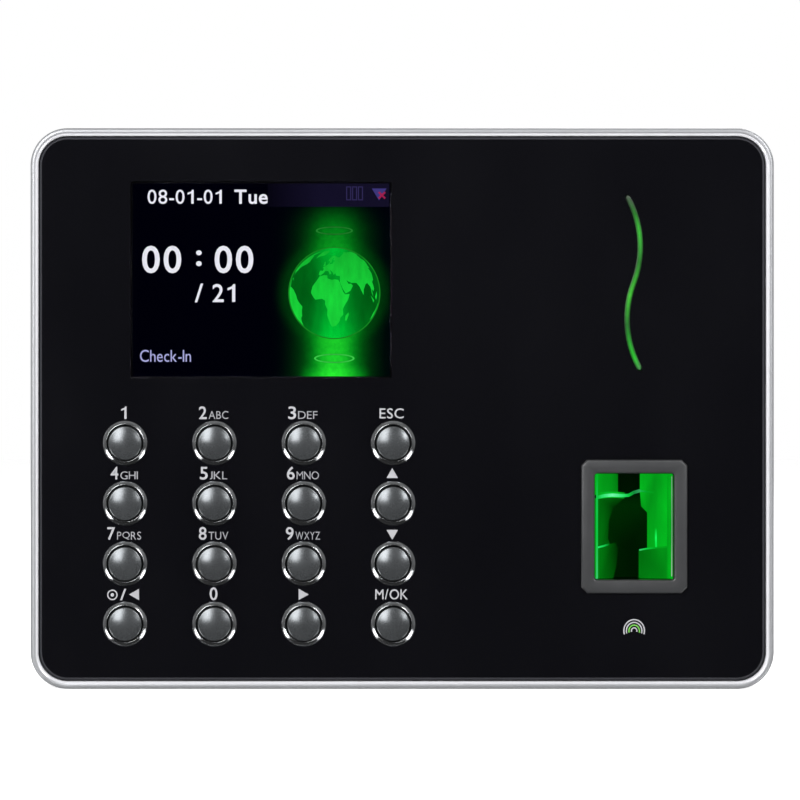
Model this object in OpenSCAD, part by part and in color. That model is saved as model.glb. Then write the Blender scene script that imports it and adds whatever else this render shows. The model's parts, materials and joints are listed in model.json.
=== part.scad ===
// Wall-mounted fingerprint terminal with a display, sixteen keys and a glass fingerprint reader.
// Millimetres. +X runs to the right, +Z up, and the front faces -Y. The wall is the plane Y = 0.
// Distances called back and front are measured forward from the wall.

/* [Body] */
// Width over the silver frame
body_w = 176; // [172:1:182]
// Height over the silver frame
body_h = 132.8; // [131:0.2:140]
// Outer corner radius of the silver frame
corner_r = 8.8; // [7.5:0.1:10]
// Width of the silver frame's bead
frame_t = 1.9; // [1.5:0.1:2.2]
// Wall thickness of the plastic shells
wall_t = 2.2; // [2:0.1:2.4]

/* [Depths from the wall] */
// Thickness of the steel wall plate
plate_t = 1.2; // [1:0.1:1.4]
// Split line between rear housing and front shell
split_at = 17; // [16.8:0.1:17.2]
// Back of the silver frame
frame_back = 24.4; // [23.6:0.1:25]
// Face of the front shell, on which the panel is bonded
shell_face = 28.6; // [28.6:0.1:28.8]
// Face of the glossy panel
panel_face = 30.4; // [30.2:0.1:30.6]
// Crest of the silver bead
bead_crest = 31; // [30.8:0.1:31.4]

/* [Display] */
// Display centre, sideways and up
display_pos = [-33.4, 30.5];
// Lit picture size, width and height
picture = [60.96, 45.72];

/* [Keys] */
// Centre of the top left key
first_key = [-65.6, -8.15];
// Spacing of the key columns
key_pitch_x = 21.15; // [20:0.05:21.2]
// Spacing of the key rows
key_pitch_z = 14.28; // [13.6:0.02:14.4]
// Radius of a key's round cap
key_r = 3.95; // [3.6:0.05:4]
// Travel of a key
key_travel = 1; // [0.8:0.1:1.1]
// Outer radius of the ring round a key
ring_r = 5.3; // [5.1:0.1:5.5]

/* [Fingerprint reader] */
// Reader centre, sideways and up
reader_pos = [54.9, -27.9];
// Outer size of the reader's bezel
bezel = [25.1, 31.6];
// Size of the reader's glass window
reader_window = [18.8, 25.2];

/* [Light strip] */
// Crossing point of the S-shaped strip
light_pos = [54.8, 29.8];
// Width of the lit line
light_w = 1.3; // [1.1:0.1:1.5]
// Lean of the strip from upright, in degrees
light_tilt = 3.9; // [2:0.1:6]

/* [Wall mounting] */
// Wall plate size, width and height
plate = [130, 90];
// Spacing of the wall screws, sideways and up
wall_screws = [100, 70];
// Radius of a wall screw hole
wall_screw_r = 2.25; // [2:0.05:2.75]

/* [Hidden] */
$fn = 64;
run_gap = 0.08;       // radial running clearance of keys and plungers
fit_gap = 0.15;       // clearance between fixed neighbours
rear_w = body_w - 5;
rear_h = body_h - 5;
rear_r = corner_r - 1;
rear_draft = 1.2;     // the rear housing's walls lean in by this much towards the wall
back_round = 2;       // radius of the rear housing's back edge
rear_floor = plate_t + 2;
shell_plate_back = shell_face - 2;
neck_w = body_w - 2 * frame_t - 2 * fit_gap;
neck_h = body_h - 2 * frame_t - 2 * fit_gap;
neck_r = corner_r - frame_t - fit_gap;
main_back = 15.4;     // back of the main board
main_front = 17;
keys_back = 19.8;     // back of the key board
keys_front = 21.4;
mat_front = 22.4;     // face of the silicone sheet between its domes
dome_crest = mat_front + 2 * key_travel;
key_group = [first_key[0] + 1.5 * key_pitch_x, first_key[1] - 1.5 * key_pitch_z];
key_board = [82, 60];
key_screw = [38.6, 27];
screw_corner = [78.6, 56.4];   // housing screws, from the centre
main_size = [101, 83.4];
main_pos = [-17.5, -17.7];
main_screw_mid = [-17.5, -11];
main_screw = [46.5, 31];
display_ear = [37.4, 18];      // screws of the display frame, from the picture's centre
light_screw = 27;              // screws of the light board, above and below the crossing
reader_screw = 17.4;           // screws of the reader's chamber, beside its centre
reader_light = [6.5, 9];       // the reader's diodes, from its centre
port_back = 3.6;
port_mouth = -62.6;   // height of the socket mouths at the bottom
network_x = -2;
usb_x = 15.5;
jack_x = 28;
lock_x = -30;
reset_x = -14;
port_mid = 9.4;       // mid depth of the small features in the bottom wall
speaker_x = -58;
tamper_pos = [0, 10];
hook_x = 30;
hook_z = [40, -20];   // undersides of the hooks
hook_w = 14;
tab_z = -50.8;        // underside of the locking tab
arc_chord = 10.125;   // half the chord of each light arc
arc_rise = 2.2;
arc_r = arc_chord * arc_chord / (2 * arc_rise) + arc_rise / 2;
arc_half = asin(arc_chord / arc_r);
prism_face = panel_face + 0.2;
reader_board_back = 9.4;
reader_board_front = 11;

// ---- shared shapes ----

// Extrudes an outline drawn in front view between two distances from the wall
module slab(back, front) {
    translate([0, -back, 0])
        rotate([90, 0, 0])
            linear_extrude(front - back)
                children();
}

// A round bar that points at the wall, at a place in front view
module rod(pos, r, back, front) {
    translate([pos[0], -back, pos[1]])
        rotate([90, 0, 0])
            cylinder(r = r, h = front - back);
}

// A square-edged block centred on a place in front view
module block(pos, size, back, front) {
    translate([pos[0] - size[0] / 2, -front, pos[1] - size[1] / 2])
        cube([size[0], front - back, size[1]]);
}

// The same block about the point it is moved to
module centred_block(size, back, front) {
    translate([-size[0] / 2, -front, -size[1] / 2])
        cube([size[0], front - back, size[1]]);
}

// A block that stands between two heights, centred on the point it is moved to
module upright_block(size, low, high) {
    translate([-size[0] / 2, -size[1] / 2, low])
        cube([size[0], size[1], high - low]);
}

// A rectangle with round corners, centred
module rounded(w, h, r) {
    square([w - 2 * r, h], center = true);
    square([w, h - 2 * r], center = true);
    for (sx = [-1, 1], sz = [-1, 1])
        translate([sx * (w / 2 - r), sz * (h / 2 - r)])
            circle(r);
}

module rounded_slab(pos, size, r, back, front) {
    translate([pos[0], 0, pos[1]])
        slab(back, front)
            rounded(size[0], size[1], r);
}

// Carries a profile, drawn as (distance from the corner's centre, distance from the wall),
// once round a rectangle with round corners
module swept_ring(w, h, r) {
    rotate([90, 0, 0])
        for (side = [0, 1, 2, 3]) {
            long = side % 2 == 0 ? h : w;
            across = side % 2 == 0 ? w : h;
            rotate([0, 0, 90 * side]) {
                translate([across / 2 - r, long / 2 - r, 0])
                    rotate([90, 0, 0])
                        linear_extrude(long - 2 * r)
                            children();
                translate([across / 2 - r, long / 2 - r, 0])
                    rotate_extrude(angle = 90)
                        children();
            }
        }
}

// The same four places in the corners of a rectangle
module four_corners(half) {
    for (sx = [-1, 1], sz = [-1, 1])
        translate([sx * half[0], 0, sz * half[1]])
            children();
}

// The four screw places of the display frame
module at_display_ears() {
    translate([display_pos[0], 0, display_pos[1]])
        four_corners(display_ear)
            children();
}

// The four places of the reader's diodes
module at_reader_lights() {
    translate([reader_pos[0], 0, reader_pos[1]])
        four_corners(reader_light)
            children();
}

// Every key position in turn
module at_keys() {
    for (col = [0 : 3], row = [0 : 3])
        translate([first_key[0] + col * key_pitch_x, 0, first_key[1] - row * key_pitch_z])
            children();
}

// One light arc of the given line width, drawn about its own centre
module arc_line(w) {
    reach = (arc_r + w) / cos(arc_half) + 1;
    intersection() {
        difference() {
            circle(arc_r + w / 2);
            circle(arc_r - w / 2);
        }
        polygon([
            [0, 0],
            [reach * cos(arc_half), -reach * sin(arc_half)],
            [reach * cos(arc_half), reach * sin(arc_half)]
        ]);
    }
}

// The S-shaped line: two arcs that mirror each other about the crossing
module light_line(w) {
    rotate(light_tilt)
        for (turn = [0, 180])
            rotate(turn) {
                translate([arc_rise - arc_r, arc_chord])
                    arc_line(w);
                translate([0, 2 * arc_chord])
                    circle(w / 2);
            }
    circle(w / 2);
}

// A pan-head screw that points forward, its head starting at the given distance
module screw(pos, head_r, head_h, shank_r, back, front) {
    slot_w = 0.6;
    difference() {
        rod(pos, head_r, back, back + head_h);
        for (turn = [0, 90])
            translate([pos[0], 0, pos[1]])
                rotate([0, turn, 0])
                    block([0, 0], [head_r * 1.2, slot_w], back - 1, back + head_h * 0.6);
    }
    rod(pos, shank_r, back + head_h, front);
}

// ---- wall plate and housings ----

module wall_plate() {
    window_h = 6.4;
    lip_h = 3.8;
    tab_w = 16;
    tab_depth = 13;
    color("lightgray") {
        difference() {
            rounded_slab([0, 0], plate, 6, 0, plate_t);
            four_corners(wall_screws / 2)
                rod([0, 0], wall_screw_r, -1, plate_t + 1);
            // windows from which the hooks are bent
            for (sx = [-1, 1], z = hook_z)
                block([sx * hook_x, z - window_h / 2], [hook_w + 0.8, window_h], -1, plate_t + 1);
            // notch from which the locking tab is bent
            block([lock_x, -plate[1] / 2], [tab_w + 0.8, 8], -1, plate_t + 1);
        }
        for (sx = [-1, 1], z = hook_z) {
            block([sx * hook_x, z + plate_t / 2], [hook_w, plate_t], 0, rear_floor + 1.3);
            block([sx * hook_x, z + plate_t + lip_h / 2], [hook_w, lip_h], rear_floor + 0.1,
                rear_floor + 1.3);
        }
        difference() {
            union() {
                block([lock_x, tab_z + plate_t / 2], [tab_w, plate_t], 0, tab_depth);
                block([lock_x, (tab_z - plate[1] / 2 + 5) / 2], [tab_w, 10.8], 0, plate_t);
            }
            translate([lock_x, -port_mid, tab_z - 1])
                cylinder(r = 1.5, h = plate_t + 2);
        }
    }
}

module lock_screw() {
    head_at = -62.2;
    head_h = 1.8;
    head_r = 2.8;
    socket_r = 1.4;
    color("silver")
        translate([lock_x, -port_mid, head_at]) {
            difference() {
                cylinder(r = head_r, h = head_h);
                translate([0, 0, -1])
                    cylinder(r = socket_r, h = 2.2);
            }
            translate([0, 0, head_h])
                cylinder(r = 1.45, h = 13);
        }
}

// The side wall's section, with its drafted outside and rounded back edge
module rear_wall_section() {
    foot = rear_r - rear_draft;
    polygon([
        [foot - back_round, plate_t],
        [foot, plate_t + back_round],
        [rear_r, split_at],
        [rear_r - wall_t, split_at],
        [foot - wall_t, rear_floor],
        [0, rear_floor],
        [0, plate_t]
    ]);
    translate([foot - back_round, plate_t + back_round])
        intersection() {
            circle(back_round);
            translate([0, -back_round])
                square(back_round);
        }
}

// Openings in the bottom wall for sockets, lock screw, reset button and sound
module bottom_cuts() {
    deep = 8;
    low = -rear_h / 2 - 2;
    translate([network_x, 0, low + deep / 2])
        centred_block([16.4, deep], port_back - 0.2, main_back + 0.2);
    translate([usb_x, 0, low + deep / 2])
        centred_block([13.6, deep], 8.4, 14.6);
    translate([jack_x, -9.6, low])
        cylinder(r = 4.1, h = deep);
    translate([lock_x, -port_mid, low])
        cylinder(r = 1.7, h = deep);
    translate([lock_x, -port_mid, low])
        cylinder(r = 3.1, h = 5.5);
    translate([reset_x, -port_mid, low])
        cylinder(r = 1.5 + run_gap, h = deep);
    for (i = [-4 : 4])
        translate([speaker_x + i * 2.6, -port_mid, low + deep / 2])
            cube([1.2, 9, deep], center = true);
}

module rear_housing() {
    post_r = 3.6;
    head_r = 3;
    head_depth = 5.2;
    board_post_r = 3;
    color("#1a1a1c")
        difference() {
            union() {
                swept_ring(rear_w, rear_h, rear_r)
                    rear_wall_section();
                block([0, 0], [rear_w - 2 * rear_r, rear_h - 2 * rear_r], plate_t, rear_floor);
                four_corners(screw_corner)
                    rod([0, 0], post_r, plate_t + 0.5, split_at);
                translate([main_screw_mid[0], 0, main_screw_mid[1]])
                    four_corners(main_screw)
                        rod([0, 0], board_post_r, plate_t + 0.5, main_back);
                rod(tamper_pos, 3.4, plate_t + 0.5, 6.6);
                translate([lock_x, -port_mid, -62])
                    cylinder(r = 4.2, h = 3.8);
                // stiffening ribs on the floor
                for (z = [18, 30])
                    block([-20, z], [90, 1.4], plate_t + 0.5, 6);
            }
            four_corners(screw_corner) {
                rod([0, 0], head_r, 0, head_depth);
                rod([0, 0], 1.7, 0, split_at + 1);
            }
            translate([main_screw_mid[0], 0, main_screw_mid[1]])
                four_corners(main_screw)
                    rod([0, 0], 1, 8, main_back + 1);
            rod(tamper_pos, 2 + run_gap, 0, 8);
            for (sx = [-1, 1], z = hook_z)
                block([sx * hook_x, z - 1.65], [hook_w + 0.8, 5.9], 0, rear_floor + 4);
            block([lock_x, -53.2], [17.2, 8], 0, rear_floor + 1);
            bottom_cuts();
            // ventilation slots in the top wall
            for (i = [-9 : 9])
                translate([i * 6, -9.4, rear_h / 2])
                    cube([2.4, 7, 12], center = true);
        }
}

module housing_screws() {
    color("silver")
        four_corners(screw_corner)
            screw([0, 0], 2.7, 1.9, 1.45, 3.3, 23);
}

module front_shell() {
    shoulder_w = body_w - 1;
    shoulder_h = body_h - 1;
    shoulder_r = corner_r - 0.5;
    cavity_top = 22.4;
    boss_r = 3.4;
    color("#141416")
        difference() {
            union() {
                difference() {
                    union() {
                        rounded_slab([0, 0], [shoulder_w, shoulder_h], shoulder_r, split_at, frame_back);
                        rounded_slab([0, 0], [neck_w, neck_h], neck_r, frame_back, shell_face);
                    }
                    rounded_slab([0, 0], [shoulder_w - 4, shoulder_h - 4], shoulder_r - 2,
                        split_at - 1, cavity_top);
                    rounded_slab([0, 0], [neck_w - 4, neck_h - 4], neck_r - 2,
                        split_at - 1, shell_plate_back);
                }
                four_corners(screw_corner)
                    rod([0, 0], boss_r, split_at, shell_face - 0.5);
                translate([key_group[0], 0, key_group[1]])
                    four_corners(key_screw)
                        rod([0, 0], 2.3, keys_front, shell_face - 0.5);
                for (dz = [-light_screw, light_screw])
                    rod([light_pos[0], light_pos[1] + dz], 2.4, 23, shell_face - 0.5);
                // pillars that the reader's chamber is screwed to
                for (sx = [-1, 1])
                    rod([reader_pos[0] + sx * reader_screw, reader_pos[1]], 2.6, 18, shell_face - 0.5);
            }
            four_corners(screw_corner)
                rod([0, 0], 1.5, split_at - 1, 24.5);
            translate([key_group[0], 0, key_group[1]])
                four_corners(key_screw)
                    rod([0, 0], 1, keys_front - 1, 25.5);
            for (dz = [-light_screw, light_screw])
                rod([light_pos[0], light_pos[1] + dz], 1, 22, 26);
            for (sx = [-1, 1])
                rod([reader_pos[0] + sx * reader_screw, reader_pos[1]], 1, 17, 22);
            at_keys()
                rod([0, 0], key_r + run_gap, shell_plate_back - 1, shell_face + 1);
            rounded_slab(display_pos, [70.2, 53.6], 1, shell_plate_back - 1, shell_face + 1);
            at_display_ears()
                rod([0, 0], 1, shell_plate_back - 1, shell_face - 0.5);
            rounded_slab(reader_pos, [23.6, 30.1], 1, shell_plate_back - 1, shell_face + 1);
            rounded_slab(light_pos, [8, 44], 1, shell_plate_back - 1, shell_face + 1);
        }
}

// Section of the silver frame: a straight leg with a round crest
module frame_section() {
    translate([corner_r - frame_t, frame_back])
        square([frame_t, bead_crest - frame_t / 2 - frame_back]);
    translate([corner_r - frame_t / 2, bead_crest - frame_t / 2])
        circle(frame_t / 2);
}

module front_frame() {
    color("silver")
        swept_ring(body_w, body_h, corner_r)
            frame_section();
}

// ---- panel and display ----

module front_panel() {
    edge = fit_gap + 0.1;
    w = body_w - 2 * frame_t - 2 * edge;
    h = body_h - 2 * frame_t - 2 * edge;
    r = corner_r - frame_t - edge;
    chamfer = 0.6;
    color("#0c0c10")
        difference() {
            union() {
                swept_ring(w, h, r)
                    polygon([
                        [0, shell_face],
                        [r, shell_face],
                        [r, panel_face - chamfer],
                        [r - chamfer, panel_face],
                        [0, panel_face]
                    ]);
                block([0, 0], [w - 2 * r, h - 2 * r], shell_face, panel_face);
            }
            at_keys()
                rod([0, 0], ring_r + 0.05, shell_face - 1, panel_face + 1);
            rounded_slab(display_pos, picture + [1, 1], 0.6, shell_face - 1, panel_face + 1);
            rounded_slab(display_pos, picture + [5.2, 5.2], 1, shell_face - 1, shell_face + 0.8);
            rounded_slab(reader_pos, [23.6, 30.1], 1, shell_face - 1, panel_face + 1);
            translate([light_pos[0], 0, light_pos[1]])
                slab(shell_face - 1, panel_face + 1)
                    light_line(light_w + 0.1);
        }
}

module display_window() {
    color("#303848", 0.5) {
        rounded_slab(display_pos, picture + [0.9, 0.9], 0.6, shell_face + 0.7, panel_face);
        rounded_slab(display_pos, picture + [5, 5], 1, shell_face, shell_face + 0.7);
    }
}

module display_panel() {
    color("#101828")
        block(display_pos, [66.5, 51], 26.4, 28.4);
}

module display_backlight() {
    color("white")
        block(display_pos, [68, 51.6], 24.8, 26.4);
}

module display_frame() {
    outer = [69.6, 53];
    sheet = 0.4;
    color("silver")
        difference() {
            union() {
                block(display_pos, outer, 24.4, 28);
                for (sz = [-1, 1])
                    block([display_pos[0], display_pos[1] + sz * display_ear[1]], [outer[0] + 12, 7], 26.1,
                        shell_plate_back);
            }
            block(display_pos, outer - 2 * [sheet, sheet], 24.8, 29);
            at_display_ears()
                rod([0, 0], 1.2, 25, 28);
        }
}

module display_ribbon() {
    strip_w = 20;
    thick = 0.3;
    low = 8;
    color("#b5651d") {
        block([display_pos[0], 14], [strip_w, 12], 24.4 - thick, 24.4);
        block([display_pos[0], low + thick / 2], [strip_w, thick], 18.4, 24.4 - thick);
        block([display_pos[0], low], [strip_w + 4, 4], main_front, 18.4);
    }
}

// ---- keys ----

// One key, revolved: domed cap, guide body, retaining flange and stem
module key_cap(col, row) {
    dome_h = 0.9;
    rim = bead_crest;
    dome_r = (key_r * key_r + dome_h * dome_h) / (2 * dome_h);
    flange_front = shell_plate_back - 0.05;
    flange_back = flange_front - 1;
    stem_back = dome_crest + 0.02;
    color("#55585c")
        translate([first_key[0] + col * key_pitch_x, 0, first_key[1] - row * key_pitch_z])
            rotate([90, 0, 0])
                rotate_extrude() {
                    translate([0, flange_front])
                        square([key_r, rim - flange_front]);
                    intersection() {
                        translate([0, rim + dome_h - dome_r])
                            circle(dome_r);
                        translate([0, rim])
                            square([key_r, 2 * dome_h]);
                    }
                    translate([0, flange_back])
                        square([key_r + 0.9, flange_front - flange_back]);
                    translate([0, stem_back])
                        square([2.2, flange_back - stem_back]);
                }
}

module key_1() { key_cap(0, 0); }
module key_2() { key_cap(1, 0); }
module key_3() { key_cap(2, 0); }
module key_esc() { key_cap(3, 0); }
module key_4() { key_cap(0, 1); }
module key_5() { key_cap(1, 1); }
module key_6() { key_cap(2, 1); }
module key_up() { key_cap(3, 1); }
module key_7() { key_cap(0, 2); }
module key_8() { key_cap(1, 2); }
module key_9() { key_cap(2, 2); }
module key_down() { key_cap(3, 2); }
module key_left() { key_cap(0, 3); }
module key_0() { key_cap(1, 3); }
module key_right() { key_cap(2, 3); }
module key_ok() { key_cap(3, 3); }

module key_rings() {
    inner = key_r + 0.4;
    round = (ring_r - inner) / 2;
    color("#8a8d90")
        at_keys()
            rotate([90, 0, 0])
                rotate_extrude() {
                    translate([inner, shell_face])
                        square([2 * round, bead_crest - round - shell_face]);
                    translate([inner + round, bead_crest - round])
                        circle(round);
                }
}

module key_mat() {
    color("#d8d8d0")
        difference() {
            union() {
                rounded_slab(key_group, [72, 51.6], 2, keys_front, mat_front);
                at_keys()
                    translate([0, -mat_front, 0])
                        rotate([90, 0, 0])
                            cylinder(r1 = 3.9, r2 = 2.8, h = dome_crest - mat_front);
            }
            at_keys()
                translate([0, -keys_front + 0.01, 0])
                    rotate([90, 0, 0])
                        cylinder(r1 = 3.3, r2 = 2, h = 2.2);
        }
}

module key_contacts() {
    color("gold")
        at_keys()
            rod([0, 0], 2.2, keys_front, keys_front + 0.1);
}

module key_board_plate() {
    color("#1f5f35")
        difference() {
            rounded_slab(key_group, key_board, 2, keys_back, keys_front);
            translate([key_group[0], 0, key_group[1]])
                four_corners(key_screw)
                    rod([0, 0], 1.2, keys_back - 1, keys_front + 1);
        }
}

module key_header() {
    color("#222222")
        block([key_group[0], key_group[1] + 20], [24, 5], main_front, keys_back);
}

// ---- light strip ----

module light_guide() {
    color("#3ad050") {
        rounded_slab(light_pos, [12, 46], 1.5, 25.1, shell_plate_back);
        translate([light_pos[0], 0, light_pos[1]])
            slab(shell_plate_back, panel_face - 0.05)
                light_line(light_w);
    }
}

module light_diodes() {
    color("#e8f0d8")
        for (dz = [-16, 0, 16])
            block([light_pos[0], light_pos[1] + dz], [3, 3], 23, 24.6);
}

module light_board() {
    color("#1f5f35")
        difference() {
            rounded_slab(light_pos, [12, 60], 1.5, 21.8, 23);
            for (dz = [-light_screw, light_screw])
                rod([light_pos[0], light_pos[1] + dz], 1.2, 21, 24);
        }
}

// ---- fingerprint reader ----

module sensor_bezel() {
    color("#4c4c50")
        difference() {
            union() {
                rounded_slab(reader_pos, bezel - [0.6, 0.6], 1, panel_face, panel_face + 1);
                rounded_slab(reader_pos, bezel, 1.3, panel_face, panel_face + 0.7);
                rounded_slab(reader_pos, [23.4, 29.9], 0.9, 24.8, panel_face);
            }
            rounded_slab(reader_pos, reader_window, 0.8, panel_face, panel_face + 2);
            block(reader_pos, reader_window, 24, prism_face);
        }
}

module sensor_prism() {
    w = reader_window[0] - 0.2;
    half_h = reader_window[1] / 2 - 0.1;
    color("#1e9a3c", 0.6)
        translate([reader_pos[0] - w / 2, 0, reader_pos[1]])
            rotate([90, 0, 90])
                linear_extrude(w)
                    polygon([
                        [-prism_face, -half_h],
                        [-prism_face, half_h],
                        [-prism_face + 1.4, half_h],
                        [-17, -half_h]
                    ]);
}

module sensor_chamber() {
    outer = [27.4, 34];
    floor_back = 13.2;
    floor_front = 15;
    color("#101010")
        difference() {
            union() {
                rounded_slab(reader_pos, outer, 1.5, reader_board_front, shell_plate_back);
                // ears that meet the shell's pillars
                block(reader_pos, [outer[0] + 12.6, 5.2], 16.4, 18);
            }
            rounded_slab(reader_pos, [23.6, 30.1], 1, 24.7, shell_plate_back + 1);
            block(reader_pos, [24.6, 31], reader_board_front - 1, floor_back);
            difference() {
                block(reader_pos, [19.2, 25.6], floor_front, shell_plate_back + 1);
                // ledge that the prism's thin end stands on
                block(reader_pos - [0, 12.05], [19.2, 1.5], floor_front, 17);
            }
            rod(reader_pos, 3 + fit_gap, floor_back - 1, floor_front + 1);
            at_reader_lights()
                rod([0, 0], 1.6, floor_back - 1, floor_front + 1);
            for (sx = [-1, 1])
                rod(reader_pos + [reader_screw * sx, 0], 1.2, 15, 19);
        }
}

module sensor_lens() {
    dome_h = 0.7;
    lens_r = 3;
    flange_r = 3.8;
    lens_back = 12.6;
    lens_front = 14.6;
    curve_r = (lens_r * lens_r + dome_h * dome_h) / (2 * dome_h);
    color("#a0c0d0", 0.7)
        translate([reader_pos[0], 0, reader_pos[1]])
            rotate([90, 0, 0])
                rotate_extrude() {
                    translate([0, lens_back])
                        square([flange_r, 0.6]);
                    translate([0, lens_back])
                        square([lens_r, lens_front - lens_back]);
                    intersection() {
                        translate([0, lens_front + dome_h - curve_r])
                            circle(curve_r);
                        translate([0, lens_front])
                            square([lens_r, 2 * dome_h]);
                    }
                }
}

module image_sensor() {
    color("#303030")
        block(reader_pos, [6, 6], reader_board_front, 12.2);
}

module sensor_diodes() {
    body_r = 1.5;
    body_front = 14.4;
    color("#40c060")
        at_reader_lights()
            rotate([90, 0, 0])
                rotate_extrude() {
                    translate([0, reader_board_front])
                        square([body_r, body_front - reader_board_front]);
                    intersection() {
                        translate([0, body_front])
                            circle(body_r);
                        translate([0, body_front])
                            square(body_r);
                    }
                }
}

module sensor_board() {
    color("#1f5f35")
        rounded_slab(reader_pos, [27, 34], 1.5, reader_board_back, reader_board_front);
}

module sensor_cable() {
    strip_h = 9;
    thick = 0.3;
    inner_end = 45;
    outer_end = 31.5;
    bend_x = 39.6;
    mid_z = reader_pos[1] - 9.5;
    color("#e8e4d8") {
        block([(inner_end + bend_x) / 2, mid_z], [inner_end - bend_x, strip_h],
            reader_board_back - thick, reader_board_back);
        block([bend_x + thick / 2, mid_z], [thick, strip_h],
            reader_board_back, main_front + thick);
        block([(bend_x + outer_end) / 2, mid_z], [bend_x - outer_end, strip_h],
            main_front, main_front + thick);
    }
}

// ---- main board and what it carries ----

module main_board() {
    color("#1f5f35")
        difference() {
            rounded_slab(main_pos, main_size, 2, main_back, main_front);
            translate([main_screw_mid[0], 0, main_screw_mid[1]])
                four_corners(main_screw)
                    rod([0, 0], 1.2, main_back - 1, main_front + 1);
        }
}

module main_chips() {
    // centre sideways and up, width, height and thickness of each chip
    chips = [
        [-12, -18, 14, 14, 1.4],
        [8, -18, 11, 9, 1.1],
        [-14, 0, 18, 10, 1.2],
        [12, 2, 7, 7, 2.6],
        [-48, -36, 9, 7, 1.2]
    ];
    color("#18181a")
        for (c = chips)
            block([c[0], c[1]], [c[2], c[3]], main_back - c[4], main_back);
}

module radio_shield() {
    color("silver")
        difference() {
            block([-46, -6], [18, 14], main_back - 2.4, main_back);
            block([-46, -6], [17.4, 13.4], main_back - 2.1, main_back + 1);
        }
}

module antenna() {
    color("#303a30")
        block([-60, 44], [30, 10], rear_floor, rear_floor + 0.4);
}

module speaker() {
    recess = 1;
    color("#202022")
        translate([speaker_x, -port_mid, -58.4])
            difference() {
                union() {
                    upright_block([16, 11.6], 0, 5);
                    for (sx = [-1, 1])
                        translate([sx * 8, 0, 0])
                            cylinder(r = 5.8, h = 5);
                }
                translate([0, 0, -1])
                    upright_block([18, 8], 0, 1 + recess);
            }
}

module speaker_gasket() {
    color("#3a3a3a")
        translate([speaker_x, -port_mid, -60.2])
            difference() {
                upright_block([27, 11.4], 0, 1.8);
                translate([0, 0, -1])
                    upright_block([24, 9.2], 0, 4);
            }
}

module battery() {
    color("#2c5aa0")
        rounded_slab([60, 26], [32, 46], 2, rear_floor, 10.4);
}

// ---- sockets in the bottom wall ----

module usb_port() {
    outer = [13.1, 5.7];
    shell_t = 0.35;
    depth = 14;
    mid = 11.5;
    color("silver")
        translate([usb_x, -mid, port_mouth])
            difference() {
                upright_block(outer, 0, depth);
                translate([0, 0, -1])
                    upright_block(outer - 2 * [shell_t, shell_t], 0, depth);
            }
    color("#e8e8e8")
        translate([usb_x, -mid + 1.2, port_mouth + 0.6])
            upright_block([11, 1.8], 0, depth - 1.6);
    // feet down to the board
    color("silver")
        block([usb_x, port_mouth + 7], [outer[0], 4], mid + outer[1] / 2, main_back);
}

module network_port() {
    outer_w = 16;
    depth = 15.6;
    key_w = 6;
    color("#202020")
        translate([network_x, 0, port_mouth])
            difference() {
                translate([-outer_w / 2, -main_back, 0])
                    cube([outer_w, main_back - port_back, depth]);
                // plug cavity
                translate([-5.9, -12.6, -1])
                    cube([11.8, 6.8, depth - 2]);
                // groove for the plug's latch
                translate([-key_w / 2, -14, -1])
                    cube([key_w, 1.6, depth - 2]);
            }
    color("gold")
        for (i = [-3.5 : 3.5])
            translate([network_x + i * 1.02 - 0.2, -6.3, port_mouth + 2])
                cube([0.4, 0.5, 9.8]);
}

module power_jack() {
    mid = 9.6;
    depth = 13;
    bore_r = 3.2;
    color("#151515")
        translate([jack_x, -mid, port_mouth])
            difference() {
                union() {
                    cylinder(r = 3.9, h = depth);
                    translate([-4.3, -main_back + mid, 4])
                        cube([8.6, main_back - mid + 3, depth - 4]);
                }
                translate([0, 0, -1])
                    cylinder(r = bore_r, h = 10.5);
            }
    color("silver")
        translate([jack_x, -mid, port_mouth + 1]) {
            cylinder(r = 1, h = 8.5);
            sphere(1);
        }
}

// ---- tamper contact and reset button ----

module tamper_switch() {
    color("#202020")
        block(tamper_pos, [7, 7], 11, main_back);
}

module tamper_plunger() {
    color("white") {
        rod(tamper_pos, 2, plate_t, 10.4);
        rod(tamper_pos, 3, 7.1, 8.3);
    }
}

module reset_button() {
    low = -62.4;
    flange_low = -60.6;
    top = -58.45;
    color("#c03030")
        translate([reset_x, -port_mid, 0]) {
            translate([0, 0, low])
                cylinder(r = 1.5, h = top - low);
            translate([0, 0, flange_low])
                cylinder(r = 2.4, h = 1);
        }
}

module reset_switch() {
    color("#202020")
        block([reset_x, -56], [6, 4], 6.4, main_back);
}

// Screws that hold the boards, the display frame and the reader
module board_screws() {
    head_r = 2;
    head_h = 1.2;
    color("silver") {
        translate([key_group[0], 0, key_group[1]])
            four_corners(key_screw)
                screw([0, 0], head_r, head_h, 0.95, keys_back - head_h, 25);
        for (dz = [-light_screw, light_screw])
            screw([light_pos[0], light_pos[1] + dz], head_r, head_h, 0.95, 21.8 - head_h, 25.6);
        at_display_ears()
            screw([0, 0], head_r, head_h, 0.95, 26.1 - head_h, 28);
        for (sx = [-1, 1])
            screw([reader_pos[0] + sx * reader_screw, reader_pos[1]], head_r, head_h, 0.95,
                16.4 - head_h, 21.6);
        // the main board's screws point back into the rear housing
        translate([main_screw_mid[0], -main_front - head_h, main_screw_mid[1]])
            rotate([0, 0, 180])
                four_corners(main_screw)
                    screw([0, 0], head_r, head_h, 0.95, 0, 9);
    }
}

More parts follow.
